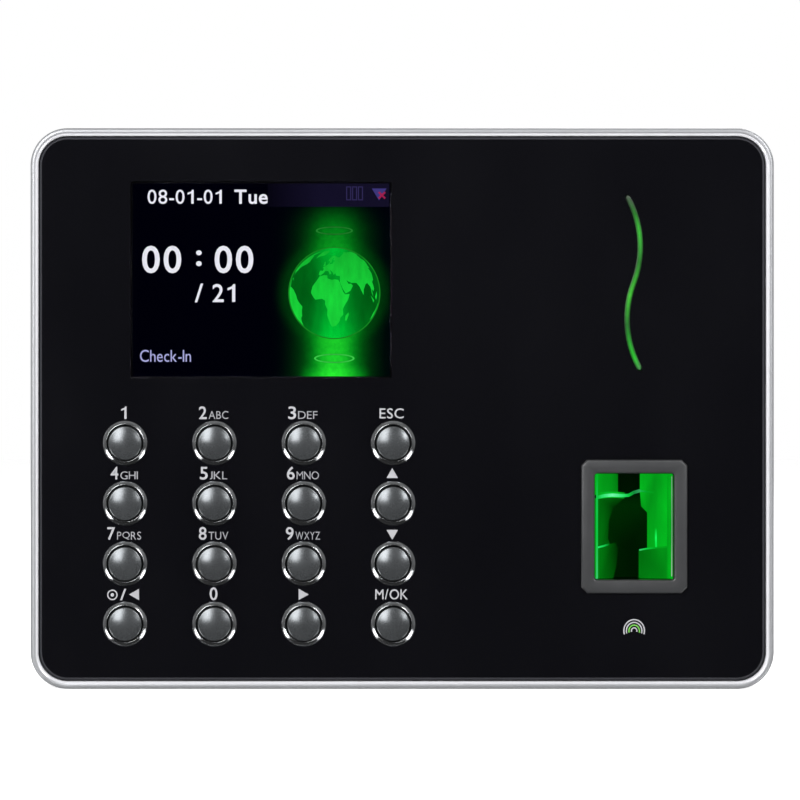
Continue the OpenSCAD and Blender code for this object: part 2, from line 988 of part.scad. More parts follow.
wall_plate();
lock_screw();
rear_housing();
housing_screws();
front_shell();
front_frame();
front_panel();
display_window();
display_panel();
display_backlight();
display_frame();
display_ribbon();
key_1();
key_2();
key_3();
key_esc();
key_4();
key_5();
key_6();
key_up();
key_7();
key_8();
key_9();
key_down();
key_left();
key_0();
key_right();
key_ok();
key_rings();
key_mat();
key_contacts();
key_board_plate();
key_header();
light_guide();
light_diodes();
light_board();
sensor_bezel();
sensor_prism();
sensor_chamber();
sensor_lens();
image_sensor();
sensor_diodes();
sensor_board();
sensor_cable();
main_board();
main_chips();
radio_shield();
antenna();
speaker();
speaker_gasket();
battery();
usb_port();
network_port();
power_jack();
tamper_switch();
tamper_plunger();
reset_button();
reset_switch();
board_screws();
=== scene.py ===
"""Looks of a wall-mounted fingerprint terminal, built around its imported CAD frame.

Positions are millimetres in front view: x to the right, z up, and depth forward from the wall.
"""

import functools
import json
import math

import bmesh
import bpy
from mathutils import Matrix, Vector
from mathutils.geometry import tessellate_polygon


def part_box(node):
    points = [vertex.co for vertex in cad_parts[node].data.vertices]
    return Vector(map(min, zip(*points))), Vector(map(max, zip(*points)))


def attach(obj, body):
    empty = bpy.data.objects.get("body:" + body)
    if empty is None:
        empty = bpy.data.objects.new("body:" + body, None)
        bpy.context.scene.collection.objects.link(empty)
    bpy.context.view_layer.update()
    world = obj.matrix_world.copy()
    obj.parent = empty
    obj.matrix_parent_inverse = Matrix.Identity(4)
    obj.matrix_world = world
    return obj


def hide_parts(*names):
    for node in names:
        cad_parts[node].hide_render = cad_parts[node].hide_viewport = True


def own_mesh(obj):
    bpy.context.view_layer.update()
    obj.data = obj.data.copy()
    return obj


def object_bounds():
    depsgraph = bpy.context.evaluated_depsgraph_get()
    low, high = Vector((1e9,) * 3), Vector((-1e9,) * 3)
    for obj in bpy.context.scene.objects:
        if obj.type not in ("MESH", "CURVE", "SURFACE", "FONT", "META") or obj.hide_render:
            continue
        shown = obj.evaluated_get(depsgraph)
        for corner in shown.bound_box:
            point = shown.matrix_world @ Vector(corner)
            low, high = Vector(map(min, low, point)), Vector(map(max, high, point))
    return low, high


MM = 0.001
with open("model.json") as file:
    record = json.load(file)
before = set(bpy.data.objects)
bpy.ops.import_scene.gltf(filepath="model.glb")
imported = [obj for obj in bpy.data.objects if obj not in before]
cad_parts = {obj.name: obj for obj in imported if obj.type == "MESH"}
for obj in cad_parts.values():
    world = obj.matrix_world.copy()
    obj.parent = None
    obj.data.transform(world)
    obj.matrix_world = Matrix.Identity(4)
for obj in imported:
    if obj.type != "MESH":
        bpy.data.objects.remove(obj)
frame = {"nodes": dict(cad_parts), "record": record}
cad_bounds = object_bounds()

# ---- places that the CAD gives ----


def box_mm(node):
    """Lowest and highest corner of a CAD node, as (x, depth, z) in millimetres."""
    lo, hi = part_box(node)
    return (lo.x / MM, -hi.y / MM, lo.z / MM), (hi.x / MM, -lo.y / MM, hi.z / MM)


def middle(node):
    """Centre of a CAD node in front view."""
    lo, hi = box_mm(node)
    return (lo[0] + hi[0]) / 2, (lo[2] + hi[2]) / 2


KEYS = ["key_" + name for name in ("1", "2", "3", "esc", "4", "5", "6", "up",
                                   "7", "8", "9", "down", "left", "0", "right", "ok")]
BODY_LO, BODY_HI = box_mm("front_frame")
BODY_W, BODY_H = BODY_HI[0] - BODY_LO[0], BODY_HI[2] - BODY_LO[2]
PANEL_FACE = box_mm("front_panel")[1][1]
SHELL_FACE = box_mm("front_panel")[0][1]
SCREEN = middle("display_panel")
SCREEN_FACE = box_mm("display_panel")[1][1]
READER = middle("sensor_prism")
LIGHT = middle("light_guide")
PICTURE = (60.96, 45.72)
CORNER_R = 8.8
BEAD_W = 1.9

# ---- meshes ----


class Shape:
    """Gathers the vertices and faces of one piece, in millimetres."""

    def __init__(self):
        self.points = []
        self.faces = []
        self.looks = []
        self.marks = []

    def add(self, points, faces, look=0, marks=None):
        start = len(self.points)
        self.points += [(x * MM, -depth * MM, z * MM) for x, depth, z in points]
        self.marks += marks or [(0.0, 0.0, 0.0)] * len(points)
        for face in faces:
            self.faces.append([start + i for i in face])
            self.looks.append(look)

    def make(self, name, body, looks, replaces=(), sharp=32):
        """The finished object, its materials given by name, with edges over an angle kept crisp."""
        mesh = bpy.data.meshes.new(name)
        mesh.from_pydata(self.points, [], self.faces)
        for look in looks:
            mesh.materials.append(LOOKS[look])
        mesh.polygons.foreach_set("material_index", self.looks)
        tint = mesh.attributes.new("tint", "FLOAT_COLOR", "POINT")
        tint.data.foreach_set("color", [c for m in self.marks for c in (*m, 1.0)])
        work = bmesh.new()
        work.from_mesh(mesh)
        bmesh.ops.recalc_face_normals(work, faces=work.faces)
        for face in work.faces:
            face.smooth = True
        for edge in work.edges:
            edge.smooth = len(edge.link_faces) == 2 and edge.calc_face_angle(0) < math.radians(sharp)
        work.to_mesh(mesh)
        work.free()
        piece = bpy.data.objects.new(name, mesh)
        bpy.context.scene.collection.objects.link(piece)
        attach(piece, body)
        if replaces:
            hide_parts(*replaces)
        return piece


def lathe(shape, centre, profile, segments=72, ring=False):
    """Revolves (radius, depth) points about an axis that points out of the wall."""
    points, rows = [], []
    for radius, depth in profile:
        if radius == 0:
            rows.append([len(points)] * segments)
            points.append((centre[0], depth, centre[1]))
            continue
        rows.append([len(points) + i for i in range(segments)])
        for i in range(segments):
            turn = 2 * math.pi * i / segments
            points.append((centre[0] + radius * math.cos(turn), depth,
                           centre[1] + radius * math.sin(turn)))
    faces = []
    for a, b in zip(rows, rows[1:] + (rows[:1] if ring else [])):
        for i in range(segments):
            j = (i + 1) % segments
            corner = list(dict.fromkeys([a[i], a[j], b[j], b[i]]))
            if len(corner) > 2:
                faces.append(corner)
    shape.add(points, faces)


def rounded(centre, w, h, r, steps=12):
    """Outline of a rectangle with round corners, as (x, z) points."""
    outline = []
    for sx, sz, start in ((1, 1, 0), (-1, 1, 90), (-1, -1, 180), (1, -1, 270)):
        for i in range(steps + 1):
            turn = math.radians(start + 90 * i / steps)
            outline.append((centre[0] + sx * (w / 2 - r) + r * math.cos(turn),
                            centre[1] + sz * (h / 2 - r) + r * math.sin(turn)))
    return outline


def cut_corners(centre, w, h, cut, steps):
    """Outline of a rectangle with straight-cut corners, point for point like a round one."""
    outline = []
    for sx, sz in ((1, 1), (-1, 1), (-1, -1), (1, -1)):
        for i in range(steps + 1):
            share = i / steps if sx * sz > 0 else 1 - i / steps
            outline.append((centre[0] + sx * (w / 2 - cut * share),
                            centre[1] + sz * (h / 2 - cut * (1 - share))))
    return outline


def skin(shape, rows, ring=False, looks=None, marks=None):
    """Joins rows of points. A ring joins its last row to its first, and a solid is capped."""
    start, count = len(shape.points), len(rows[0])
    last = len(rows) if ring else len(rows) - 1
    looks = looks or [0] * last
    shape.add([point for row in rows for point in row], [], marks=marks)
    for k in range(last):
        a, b = start + k * count, start + (k + 1) % len(rows) * count
        for i in range(count):
            j = (i + 1) % count
            shape.faces.append([a + i, a + j, b + j, b + i])
            shape.looks.append(looks[k])
    if not ring:
        for k in (0, last):
            shape.faces.append([start + k * count + i for i in range(count)])
            shape.looks.append(looks[min(k, last - 1)])


def loft(shape, loops, **settings):
    """Skins outlines in front view, each given with its depth."""
    skin(shape, [[(x, depth, z) for x, z in outline] for outline, depth in loops], **settings)


def slab(shape, corners, thick, caps=None):
    """A thin solid from front corners, each (x, z, depth, colour), and the faces that cap it."""
    n = len(corners)
    points = [(x, depth - back, z) for back in (0, thick) for x, z, depth, _ in corners]
    caps = caps or [list(range(n))]
    faces = caps + [[n + i for i in face] for face in caps]
    faces += [[i, (i + 1) % n, n + (i + 1) % n, n + i] for i in range(n)]
    shape.add(points, faces, 0, [colour for *_, colour in corners] * 2)


def plate(shape, outlines, back, front, look=0, mark=(0.0, 0.0, 0.0)):
    """A thin solid from an outline in front view and any holes in it."""
    rings = [[Vector((x, z, 0)) for x, z in outline] for outline in outlines]
    flat = [p for ring in rings for p in ring]
    count = len(flat)
    points = [(p.x, depth, p.y) for depth in (back, front) for p in flat]
    faces = []
    for a, b, c in tessellate_polygon(rings):
        faces += [[a, b, c], [count + c, count + b, count + a]]
    start = 0
    for ring in rings:
        for i in range(len(ring)):
            j = (i + 1) % len(ring)
            faces.append([start + i, start + j, count + start + j, count + start + i])
        start += len(ring)
    shape.add(points, faces, look, [mark] * (2 * count))


def disc(centre, rx, rz=None, steps=40):
    """Outline of an ellipse."""
    rz = rz or rx
    return [(centre[0] + rx * math.cos(2 * math.pi * i / steps),
             centre[1] + rz * math.sin(2 * math.pi * i / steps)) for i in range(steps)]


def stroke(path, width):
    """Outline of a band of even width along a path."""
    left, right = [], []
    for i, (x, z) in enumerate(path):
        ax, az = path[max(i - 1, 0)]
        bx, bz = path[min(i + 1, len(path) - 1)]
        size = math.hypot(bx - ax, bz - az)
        nx, nz = -(bz - az) / size * width / 2, (bx - ax) / size * width / 2
        left.append((x + nx, z + nz))
        right.append((x - nx, z - nz))
    return left + right[::-1]


def letter_mesh(letter, weight):
    """Points and faces of a letter in the built-in font."""
    curve = bpy.data.curves.new("letter", "FONT")
    curve.body = letter
    curve.extrude = 0.5
    curve.offset = weight
    curve.resolution_u = 4
    holder = bpy.data.objects.new("letter", curve)
    bpy.context.scene.collection.objects.link(holder)
    bpy.context.view_layer.update()
    mesh = bpy.data.meshes.new_from_object(
        holder.evaluated_get(bpy.context.evaluated_depsgraph_get()))
    work = bmesh.new()
    work.from_mesh(mesh)
    bmesh.ops.remove_doubles(work, verts=work.verts, dist=1e-5)
    work.verts.index_update()
    points = [tuple(v.co) for v in work.verts]
    faces = [[v.index for v in f.verts] for f in work.faces]
    work.free()
    bpy.data.objects.remove(holder)
    bpy.data.curves.remove(curve)
    bpy.data.meshes.remove(mesh)
    return points, faces


FIGURE_W, FIGURE_STEP = 0.64, 0.777
DASH_W, DASH_STEP = 0.35, 0.465
LETTER_GAP = 0.14
ONE_W = 0.44
ONE_STROKE = 0.17


@functools.cache
def glyph(letter, weight):
    """Points and faces of a letter one unit high, its left edge, width and advance."""
    if letter == "1":
        left = ONE_W - ONE_STROKE - weight
        outline = [(left, 0), (ONE_W, 0), (ONE_W, 1), (ONE_W - 0.11, 1), (ONE_W - 0.19, 0.88),
                   (0, 0.78), (0, 0.65), (left, 0.74)]
        flat = Shape()
        plate(flat, [outline], -0.5, 0.5)
        points = [(x / MM, z / MM, -y / MM) for x, y, z in flat.points]
        return points, flat.faces, 0.08, ONE_W, FIGURE_STEP
    cap = max(y for _, y, _ in letter_mesh("H", weight)[0])
    points, faces = letter_mesh(letter, weight)
    low = min(x for x, _, _ in points)
    span = max(x for x, _, _ in points) - low
    foot = min(y for _, y, _ in points) if letter in "JQ" else 0.0
    rise = 1 / (cap - foot)
    wide, step = span / cap, span / cap + LETTER_GAP
    if letter.isdigit():
        wide, step = FIGURE_W, FIGURE_STEP
    if letter == "-":
        wide, step = DASH_W, DASH_STEP
    points = [((x - low) / span * wide, (y - foot) * rise, z) for x, y, z in points]
    return points, faces, 0.0, wide, step


def write(shape, text, left, base, height, depth, width, weight, thick, look=0):
    """Sets a word as thin raised letters; returns its right-hand end."""
    glyphs = [glyph(letter, weight) for letter in text]
    length = sum(step for *_, step in glyphs[:-1]) + glyphs[-1][2] + glyphs[-1][3]
    across = width / length
    at = left
    for points, faces, lead, wide, step in glyphs:
        shape.add([(at + (x + lead) * across, depth + (z + 0.5) * thick, base + y * height)
                   for x, y, z in points], faces, look)
        at += step * across
    return left + width


# ---- materials ----


LOOKS = {}  # every material by its name


def add_node(tree, kind, ins=None, **settings):
    """Adds a node, sets it and returns its first output, if it has one."""
    made = tree.nodes.new("ShaderNode" + kind)
    for key, value in settings.items():
        setattr(made, key, value)
    for key, value in (ins or {}).items():
        if isinstance(value, bpy.types.NodeSocket):
            tree.links.new(value, made.inputs[key])
        else:
            made.inputs[key].default_value = value
    return next((o for o in made.outputs if o.enabled), None)


def shade(colour, factor):
    return tuple(min(1.0, c * factor) for c in colour)


def add_ramp(tree, value, stops):
    """Colours at places along a value."""
    output = add_node(tree, "ValToRGB", {"Fac": value})
    elements = output.node.color_ramp.elements
    while len(elements) < len(stops):
        elements.new(1.0)
    for element, (at, colour) in zip(elements, stops):
        element.position = at
        element.color = (*colour, 1.0)
    return output


class Look:
    """A material whose colour, roughness and relief come from nodes."""

    def __init__(self, name, **sockets):
        self.material = LOOKS[name] = bpy.data.materials.new(name)
        self.material.use_nodes = True
        self.bump = None
        self.tree = self.material.node_tree
        self.shader = self.tree.nodes["Principled BSDF"]
        for socket, value in sockets.items():
            self.shader.inputs[socket.replace("_", " ")].default_value = value
        at = self.node("TexCoord").node.outputs["Object"]
        self.place = self.node("VectorMath", {0: at, "Scale": 1 / MM}, operation="SCALE")

    def node(self, kind, ins=None, **settings):
        return add_node(self.tree, kind, ins, **settings)

    def ramp(self, value, stops):
        return add_ramp(self.tree, value, stops)

    def math(self, operation, a, b=0.0):
        return self.node("Math", {0: a, 1: b}, operation=operation)

    def plus(self, a, b):
        return self.math("ADD", a, b)

    def times(self, a, b):
        return self.math("MULTIPLY", a, b)

    def mix(self, share, a, b):
        """A blend of two values."""
        return self.node("Mix", {0: share, 2: a, 3: b})

    def mix_colours(self, share, a, b):
        return self.node("Mix", {0: share, 6: a, 7: b}, data_type="RGBA")

    def scaled(self, colour, level):
        return self.node("VectorMath", {0: colour, "Scale": level}, operation="SCALE")

    def noise(self, size, detail=4.0, offset=0.0, stretch=(1, 1, 1)):
        """Noise with features about as large as the given millimetres."""
        moved = self.node("VectorMath", {0: self.place, 1: stretch, 2: (offset,) * 3},
                          operation="MULTIPLY_ADD")
        return self.node("TexNoise", {"Vector": moved, "Scale": 1 / size, "Detail": detail})

    def scratches(self, scale, distortion, detail, fine):
        """Wandering lines, low in value along their middle."""
        return self.node("TexWave", {"Vector": self.place, "Scale": scale, "Distortion": distortion,
                                     "Detail": detail, "Detail Scale": fine}, bands_direction="DIAGONAL")

    def spread(self, value, low, high, from_low=0.3, from_high=0.7):
        return self.node("MapRange", {"Value": value, "From Min": from_low, "From Max": from_high,
                                      "To Min": low, "To Max": high})

    def link(self, value, socket):
        self.tree.links.new(value, self.shader.inputs[socket])

    def base(self, value, colour, dark, light, low=0.3, high=0.7):
        """Base colour between a darker and a lighter share of one tone, as a value rises."""
        self.link(self.ramp(value, [(low, shade(colour, dark)), (high, shade(colour, light))]),
                  "Base Color")

    def gloss(self, value, low, high, *span):
        """Roughness between two levels, as a value rises."""
        self.link(self.spread(value, low, high, *span), "Roughness")

    def relief(self, height, distance, strength=0.5):
        """Bump of the given depth in millimetres, over any relief there is already."""
        ins = {"Height": height, "Distance": distance * MM, "Strength": strength}
        if self.bump is not None:
            ins["Normal"] = self.bump
        self.bump = self.node("Bump", ins)
        self.link(self.bump, "Normal")


def plain_look(name, colour, change, rough, grain=0.5, relief=0.01, spot=12.0, **sockets):
    """Colour that drifts over patches, uneven gloss and a fine grain."""
    look = Look(name, **sockets)
    patches = look.noise(spot, 5.0)
    look.base(patches, colour, 1 - change, 1 + change)
    fine = look.noise(grain, 3.0, 3.7)
    blend = look.mix(0.5, fine, look.noise(spot * 0.4, 3.0, 9.1))
    look.gloss(blend, *rough)
    look.relief(fine, relief)


def brushed_look(name, colour, rough, direction, scratches=0.06):
    """Metal with fine lines along one direction, a few scratches and cloudy gloss."""
    look = Look(name, Metallic=1.0)
    lines = look.noise(0.12, stretch=direction)
    clouds = look.noise(9.0, offset=5.3)
    cut = look.spread(look.scratches(0.11, 22.0, 4.0, 0.6), 1.0, 0.0, 0.0, 0.03)
    look.base(clouds, colour, 0.78, 1.0, 0.3, 0.72)
    gloss = look.spread(look.mix(0.55, lines, clouds), *rough)
    look.link(look.plus(gloss, look.times(cut, scratches)), "Roughness")
    look.relief(lines, 0.004)


def panel_look():
    """Deep black acrylic: faint smears and dust on its face, and a satin cut edge whose paler colour is
    a painted reflection.
    """
    look = Look("panel_gloss")
    smears = look.noise(26.0, 6.0, stretch=(1, 1, 0.45))
    dust = look.noise(0.35, 2.0, 4.0)
    specks = look.spread(dust, 0.0, 1.0, 0.74, 0.80)
    base = look.ramp(smears, [(0.25, (0.0014, 0.0014, 0.0022)), (0.75, (0.0022, 0.0022, 0.0032))])
    dusty = look.mix_colours(specks, base, (0.014, 0.014, 0.016, 1.0))
    forward = look.times(look.node("SeparateXYZ", {0: look.place}).node.outputs["Y"], -1.0)
    # painted reflection: the chamfer is made paler by its depth
    edge = look.spread(forward, 1.0, 0.0, PANEL_FACE - 0.12, PANEL_FACE - 0.04)
    look.link(look.mix_colours(edge, dusty, (0.030, 0.030, 0.036, 1.0)), "Base Color")
    gloss = look.spread(smears, 0.05, 0.13)
    look.link(look.plus(gloss, look.times(edge, 0.25)), "Roughness")
    look.relief(look.noise(40.0, 1.0), 0.02, 0.15)


def moulded_look(name, colour, grain=0.28, rough=(0.5, 0.62), depth=0.03):
    """Spark-eroded plastic: a tight pebble grain, worn smoother in patches."""
    look = Look(name, Specular_IOR_Level=0.4)
    pebbles = look.node("TexVoronoi", {"Vector": look.place, "Scale": 1 / grain})
    haze = look.noise(14.0, 5.0)
    look.base(haze, colour, 0.75, 1.35)
    look.gloss(haze, *rough)
    look.relief(look.noise(0.12, 2.0), depth * 0.3, 0.4)
    look.relief(pebbles, depth)


def glass_look(name, tint, rough=(0.0, 0.03), **sockets):
    """Clear glass or acrylic with faint finger smears."""
    look = Look(name, Transmission_Weight=1.0, **sockets)
    smears = look.noise(7.0, 5.0, stretch=(1, 1, 0.6))
    look.base(smears, tint, 0.97, 1.0)
    look.gloss(smears, *rough, 0.45, 0.75)


def lit_look(name, base, specular):
    """A surface that shines with its own light, and doesn't count as a lamp."""
    look = Look(name, Emission_Strength=1.0, Base_Color=(*base, 1.0), Specular_IOR_Level=specular)
    look.material.cycles.emission_sampling = "NONE"
    return look


def glow_look(name, detail, grain):
    """A lit surface: its colour is the piece's own tint, broken up by faint streaks."""
    look = lit_look(name, (0.0, 0.0, 0.0), 0.0)
    tint = look.node("Attribute", attribute_name="tint")
    streaks = look.spread(look.noise(grain, stretch=(1, 1, 0.3)), 1 - detail, 1 + detail)
    look.link(look.scaled(tint, streaks), "Emission Color")
    look.gloss(look.noise(0.8), 0.4, 0.6)


def zinc_look():
    """Galvanised sheet: faceted spangle with a little sheen of its own, and long fine scratches."""
    look = Look("plate_zinc", Metallic=0.9)
    bent = look.node("VectorMath", {0: look.place, 1: look.noise(2.5, 3.0).node.outputs["Color"]})
    cells = look.node("TexVoronoi", {"Vector": bent, "Scale": 0.30}).node.outputs["Color"]
    spangle = look.node("SeparateXYZ", {0: cells})
    fine = look.noise(0.5, stretch=(0.15, 1, 1))
    blend = look.mix(0.45, spangle, fine)
    look.link(look.ramp(blend, [(0.15, (0.47, 0.48, 0.49)), (0.85, (0.56, 0.57, 0.58))]), "Base Color")
    cut = look.spread(look.scratches(0.03, 26.0, 5.0, 0.5), 0.035, 0.0, 0.0, 0.012)
    look.link(look.plus(look.spread(blend, 0.44, 0.54), cut), "Roughness")
    look.relief(blend, 0.006)


def board_look():
    """Green solder mask over copper tracks, with drilled dots."""
    look = Look("board_green", Coat_Weight=0.3, Coat_Roughness=0.15)
    tracks = look.node("TexBrick", {"Vector": look.place, "Scale": 0.35, "Mortar Size": 0.06,
                                    "Brick Width": 1.9, "Row Height": 0.8,
                                    "Color1": (0.012, 0.085, 0.03, 1),
                                    "Color2": (0.014, 0.1, 0.035, 1), "Mortar": (0.03, 0.17, 0.06, 1)})
    look.link(tracks, "Base Color")
    holes = look.node("TexVoronoi", {"Vector": look.place, "Scale": 0.32, "Randomness": 0.6})
    look.gloss(holes, 0.28, 0.45)
    look.relief(look.spread(holes, 0.0, 1.0, 0.04, 0.1), 0.05)


# the beam and the globe on the screen, from its middle; a part of the beam is a width and the
# brightness at its foot and at its head
BEAM_X = 17.3
BEAM_PARTS = [(4.4, 0.62, 0.10), (7.0, 0.12, 0.05)]
BEAM_FOOT, BEAM_HEAD = -24.0, 17.0
BEAM_FADE, BEAM_TOP = 12.0, 18.5
BELL_POWER = 2.4
FOOT_W, FOOT_POWER, FOOT_LEVEL, FOOT_TOP = 7.3, 8.0, 0.20, -20.0
GLOBE = (17.3, -3.1)
GLOBE_R = 10.8
HALO_W, HALO_LEVEL = 2.2, 0.030
POLE_W, POLE_LEVEL = 3.6, 0.24
SEA_LEVEL, SEA_RIM, SEA_BEAM = 0.075, 0.05, 0.55


def beam_level(x, z):
    """How bright the beam is at a place, from the middle of the beam and of the picture."""
    rise = min(1.0, max(0.0, (z - BEAM_FOOT) / (BEAM_HEAD - BEAM_FOOT)))
    return sum(math.exp(-abs(x / width) ** BELL_POWER) * (bright + (dim - bright) * rise)
               for width, bright, dim in BEAM_PARTS)


def screen_look():
    """The lit picture's background: a dark night tone, a green beam and the globe's glow."""
    look = lit_look("screen_picture", (0.0, 0.0, 0.0), 0.0)
    split = look.node("SeparateXYZ", {0: look.place}).node
    x = look.math("SUBTRACT", split.outputs["X"], SCREEN[0] + BEAM_X)
    z = look.math("SUBTRACT", split.outputs["Z"], SCREEN[1])

    def bell(value, width, steepness=BELL_POWER):
        power = look.math("POWER", look.math("ABSOLUTE", look.math("DIVIDE", value, width)), steepness)
        return look.math("EXPONENT", look.times(power, -1.0))

    parts = [look.times(bell(x, width), look.spread(z, bright, dim, BEAM_FOOT, BEAM_HEAD))
             for width, bright, dim in BEAM_PARTS]
    top = look.spread(z, 1.0, 0.0, BEAM_FADE, BEAM_TOP)
    beam = look.times(look.plus(*parts), top)
    foot = look.times(bell(x, FOOT_W, FOOT_POWER),
                     look.spread(z, FOOT_LEVEL, 0.0, -PICTURE[1] / 2, FOOT_TOP))
    beam = look.plus(beam, foot)
    dz = look.math("SUBTRACT", z, GLOBE[1])
    away = look.math("SQRT", look.plus(look.times(x, x), look.times(dz, dz)))
    halo = look.times(bell(look.math("SUBTRACT", away, GLOBE_R), HALO_W), HALO_LEVEL)
    grain = look.spread(look.noise(0.9, 3.0), 0.88, 1.12)
    green = look.times(look.plus(beam, halo), grain)
    red = look.times(look.times(green, green), 0.03)
    blue = look.plus(look.times(green, 0.035), 0.0020)
    look.link(look.node("CombineXYZ", {0: red, 1: green, 2: blue}), "Emission Color")
    look.gloss(look.noise(2.0), 0.3, 0.4)


def strip_look():
    """The lit strip: brighter where a diode sits behind it, darker towards its edges."""
    look = lit_look("light_strip", (0.002, 0.012, 0.002), 0.15)
    place = look.node("Attribute", attribute_name="tint").node.outputs["Vector"]
    split = look.node("SeparateXYZ", {0: place}).node
    along, across = split.outputs["X"], split.outputs["Y"]
    spots = look.ramp(along, [
        (0.0, (0.095, 0.105, 0.095)), (0.03, (0.060, 0.115, 0.060)), (0.10, (0.020, 0.170, 0.020)),
        (0.22, (0.050, 0.520, 0.045)), (0.38, (0.024, 0.190, 0.026)), (0.57, (0.060, 0.560, 0.040)),
        (0.74, (0.018, 0.160, 0.024)), (0.93, (0.026, 0.560, 0.030)), (1.0, (0.070, 0.230, 0.080))])
    edge = look.spread(across, 1.0, 0.10, 0.10, 1.0)
    grain = look.times(edge, look.spread(look.noise(0.7), 0.9, 1.1))
    look.link(look.scaled(spots, grain), "Emission Color")
    look.gloss(look.noise(1.2), 0.22, 0.4)
    look.relief(look.noise(0.5), 0.01)


plain_look("silver_trim", (0.36, 0.365, 0.38), 0.03, (0.38, 0.46), 0.3, 0.0006, 30.0, Metallic=0.6)
# the bead's inner slope takes a lighter copy of the silver, a painted highlight; its lower roughness is
# a polished cut
plain_look("painted_highlight_edge", (0.68, 0.68, 0.71), 0.03, (0.18, 0.26), 0.4, 0.0006, 30.0, Metallic=0.3)
panel_look()
moulded_look("shell_black", (0.018, 0.018, 0.020))
glass_look("window_clear", (0.95, 0.95, 0.96), (0.0, 0.01), IOR=1.12)
plain_look("display_glass", (0.006, 0.006, 0.010), 0.2, (0.15, 0.25))
plain_look("backlight_white", (0.75, 0.76, 0.76), 0.05, (0.4, 0.5))
brushed_look("can_steel", (0.62, 0.62, 0.63), (0.25, 0.42), (1, 1, 0.04))
plain_look("flex_amber", (0.55, 0.22, 0.03), 0.2, (0.25, 0.35), 0.6, 0.01, 3.0)
plain_look("key_metal", (0.090, 0.096, 0.101), 0.08, (0.24, 0.31), 0.25, 0.003, 6.0, Metallic=0.7)
plain_look("ring_chrome", (0.35, 0.36, 0.37), 0.05, (0.20, 0.26), 0.3, 0.0004, 5.0, Metallic=1.0)
plain_look("silicone", (0.52, 0.52, 0.48), 0.08, (0.5, 0.65), 0.8, 0.02, Subsurface_Weight=0.1)
brushed_look("contact_gold", (0.83, 0.60, 0.20), (0.2, 0.34), (1, 1, 0.1))
board_look()
moulded_look("chip_black", (0.022, 0.022, 0.024), 0.15, (0.55, 0.7), 0.01)
plain_look("light_green", (0.08, 0.45, 0.10), 0.2, (0.2, 0.35), Transmission_Weight=0.4)
plain_look("diode_clear", (0.75, 0.80, 0.70), 0.1, (0.1, 0.2), 0.4, 0.004, 2.0, Transmission_Weight=0.6)
plain_look("bezel_grey", (0.034, 0.035, 0.037), 0.10, (0.36, 0.46), 0.22, 0.008, 8.0, Metallic=0.25)
glass_look("reader_glass", (0.97, 1.0, 0.98), IOR=1.12)
glass_look("lens_glass", (0.80, 0.90, 0.95))
plain_look("white_film", (0.70, 0.69, 0.64), 0.06, (0.35, 0.45))
moulded_look("foam_grey", (0.045, 0.045, 0.048), 0.5, (0.85, 0.95), 0.12)
plain_look("cell_wrap", (0.03, 0.10, 0.30), 0.15, (0.25, 0.38), 1.2, 0.02)
brushed_look("socket_metal", (0.70, 0.70, 0.70), (0.18, 0.32), (1, 1, 0.05))
moulded_look("socket_black", (0.020, 0.020, 0.021), 0.2, (0.42, 0.55), 0.012)
plain_look("plunger_white", (0.72, 0.71, 0.68), 0.05, (0.35, 0.5))
plain_look("button_red", (0.45, 0.03, 0.02), 0.15, (0.32, 0.45))
zinc_look()
brushed_look("screw_steel", (0.60, 0.60, 0.61), (0.22, 0.38), (1, 0.1, 1), 0.1)
for name, colour in (("print_ink", (0.285, 0.285, 0.30)), ("print_ink_small", (0.19, 0.19, 0.205)),
                     ("print_ink_green", (0.10, 0.36, 0.04))):
    plain_look(name, colour, 0.08, (0.42, 0.55), 0.3, 0.004, 3.0)
screen_look()
strip_look()
glow_look("screen_ink", 0.04, 0.8)
glow_look("screen_glow", 0.12, 1.2)
# the reader's walls glow with painted light, standing in for surfaces lit by its lamps
glow_look("reader_painted_glow", 0.10, 2.2)

for part in frame["record"]["subparts"]:
    mesh = frame["nodes"][part["node"]].data
    mesh.materials.clear()
    mesh.materials.append(LOOKS[part["material_slot"]])

# ---- silver frame ----

# the bead's section, as (inset from the outside, drop from its crest); it ends at the wall side
BEAD = [(0.0, 0.95), (0.06, 0.62), (0.18, 0.36), (0.36, 0.16), (0.60, 0.04), (0.86, 0.0), (1.12, 0.03),
        (1.30, 0.10), (1.62, 0.36), (1.84, 0.62), (BEAD_W, 0.80)]
# the sides of the section on the inner slope, which take the lighter copy: a painted highlight
PAINTED_HIGHLIGHT_SIDES = (8, 9)
bead = ([(0.0, BODY_LO[1])] + [(inset, BODY_HI[1] - drop) for inset, drop in BEAD]
        + [(BEAD_W, BODY_LO[1])])
trim = Shape()
loft(trim, [(rounded((0, 0), BODY_W - 2 * inset, BODY_H - 2 * inset, CORNER_R - inset, steps=24), depth)
            for inset, depth in bead],
     ring=True, looks=[int(side in PAINTED_HIGHLIGHT_SIDES) for side in range(len(bead))])
trim.make("trim_bead", "case", ["silver_trim", "painted_highlight_edge"], ["front_frame"], sharp=50)

# ---- keys and their rings ----

KEY_R = 3.95
EDGE_R = 0.35
EDGE_DROP = 0.9
DOME_R = 9.12
DOME_STEPS, EDGE_STEPS = 14, 6
KEY_LO, KEY_HI = box_mm("key_1")
FLANGE_R = (KEY_HI[0] - KEY_LO[0]) / 2
FLANGE = (25.55, 26.55)
STEM_R = 2.2


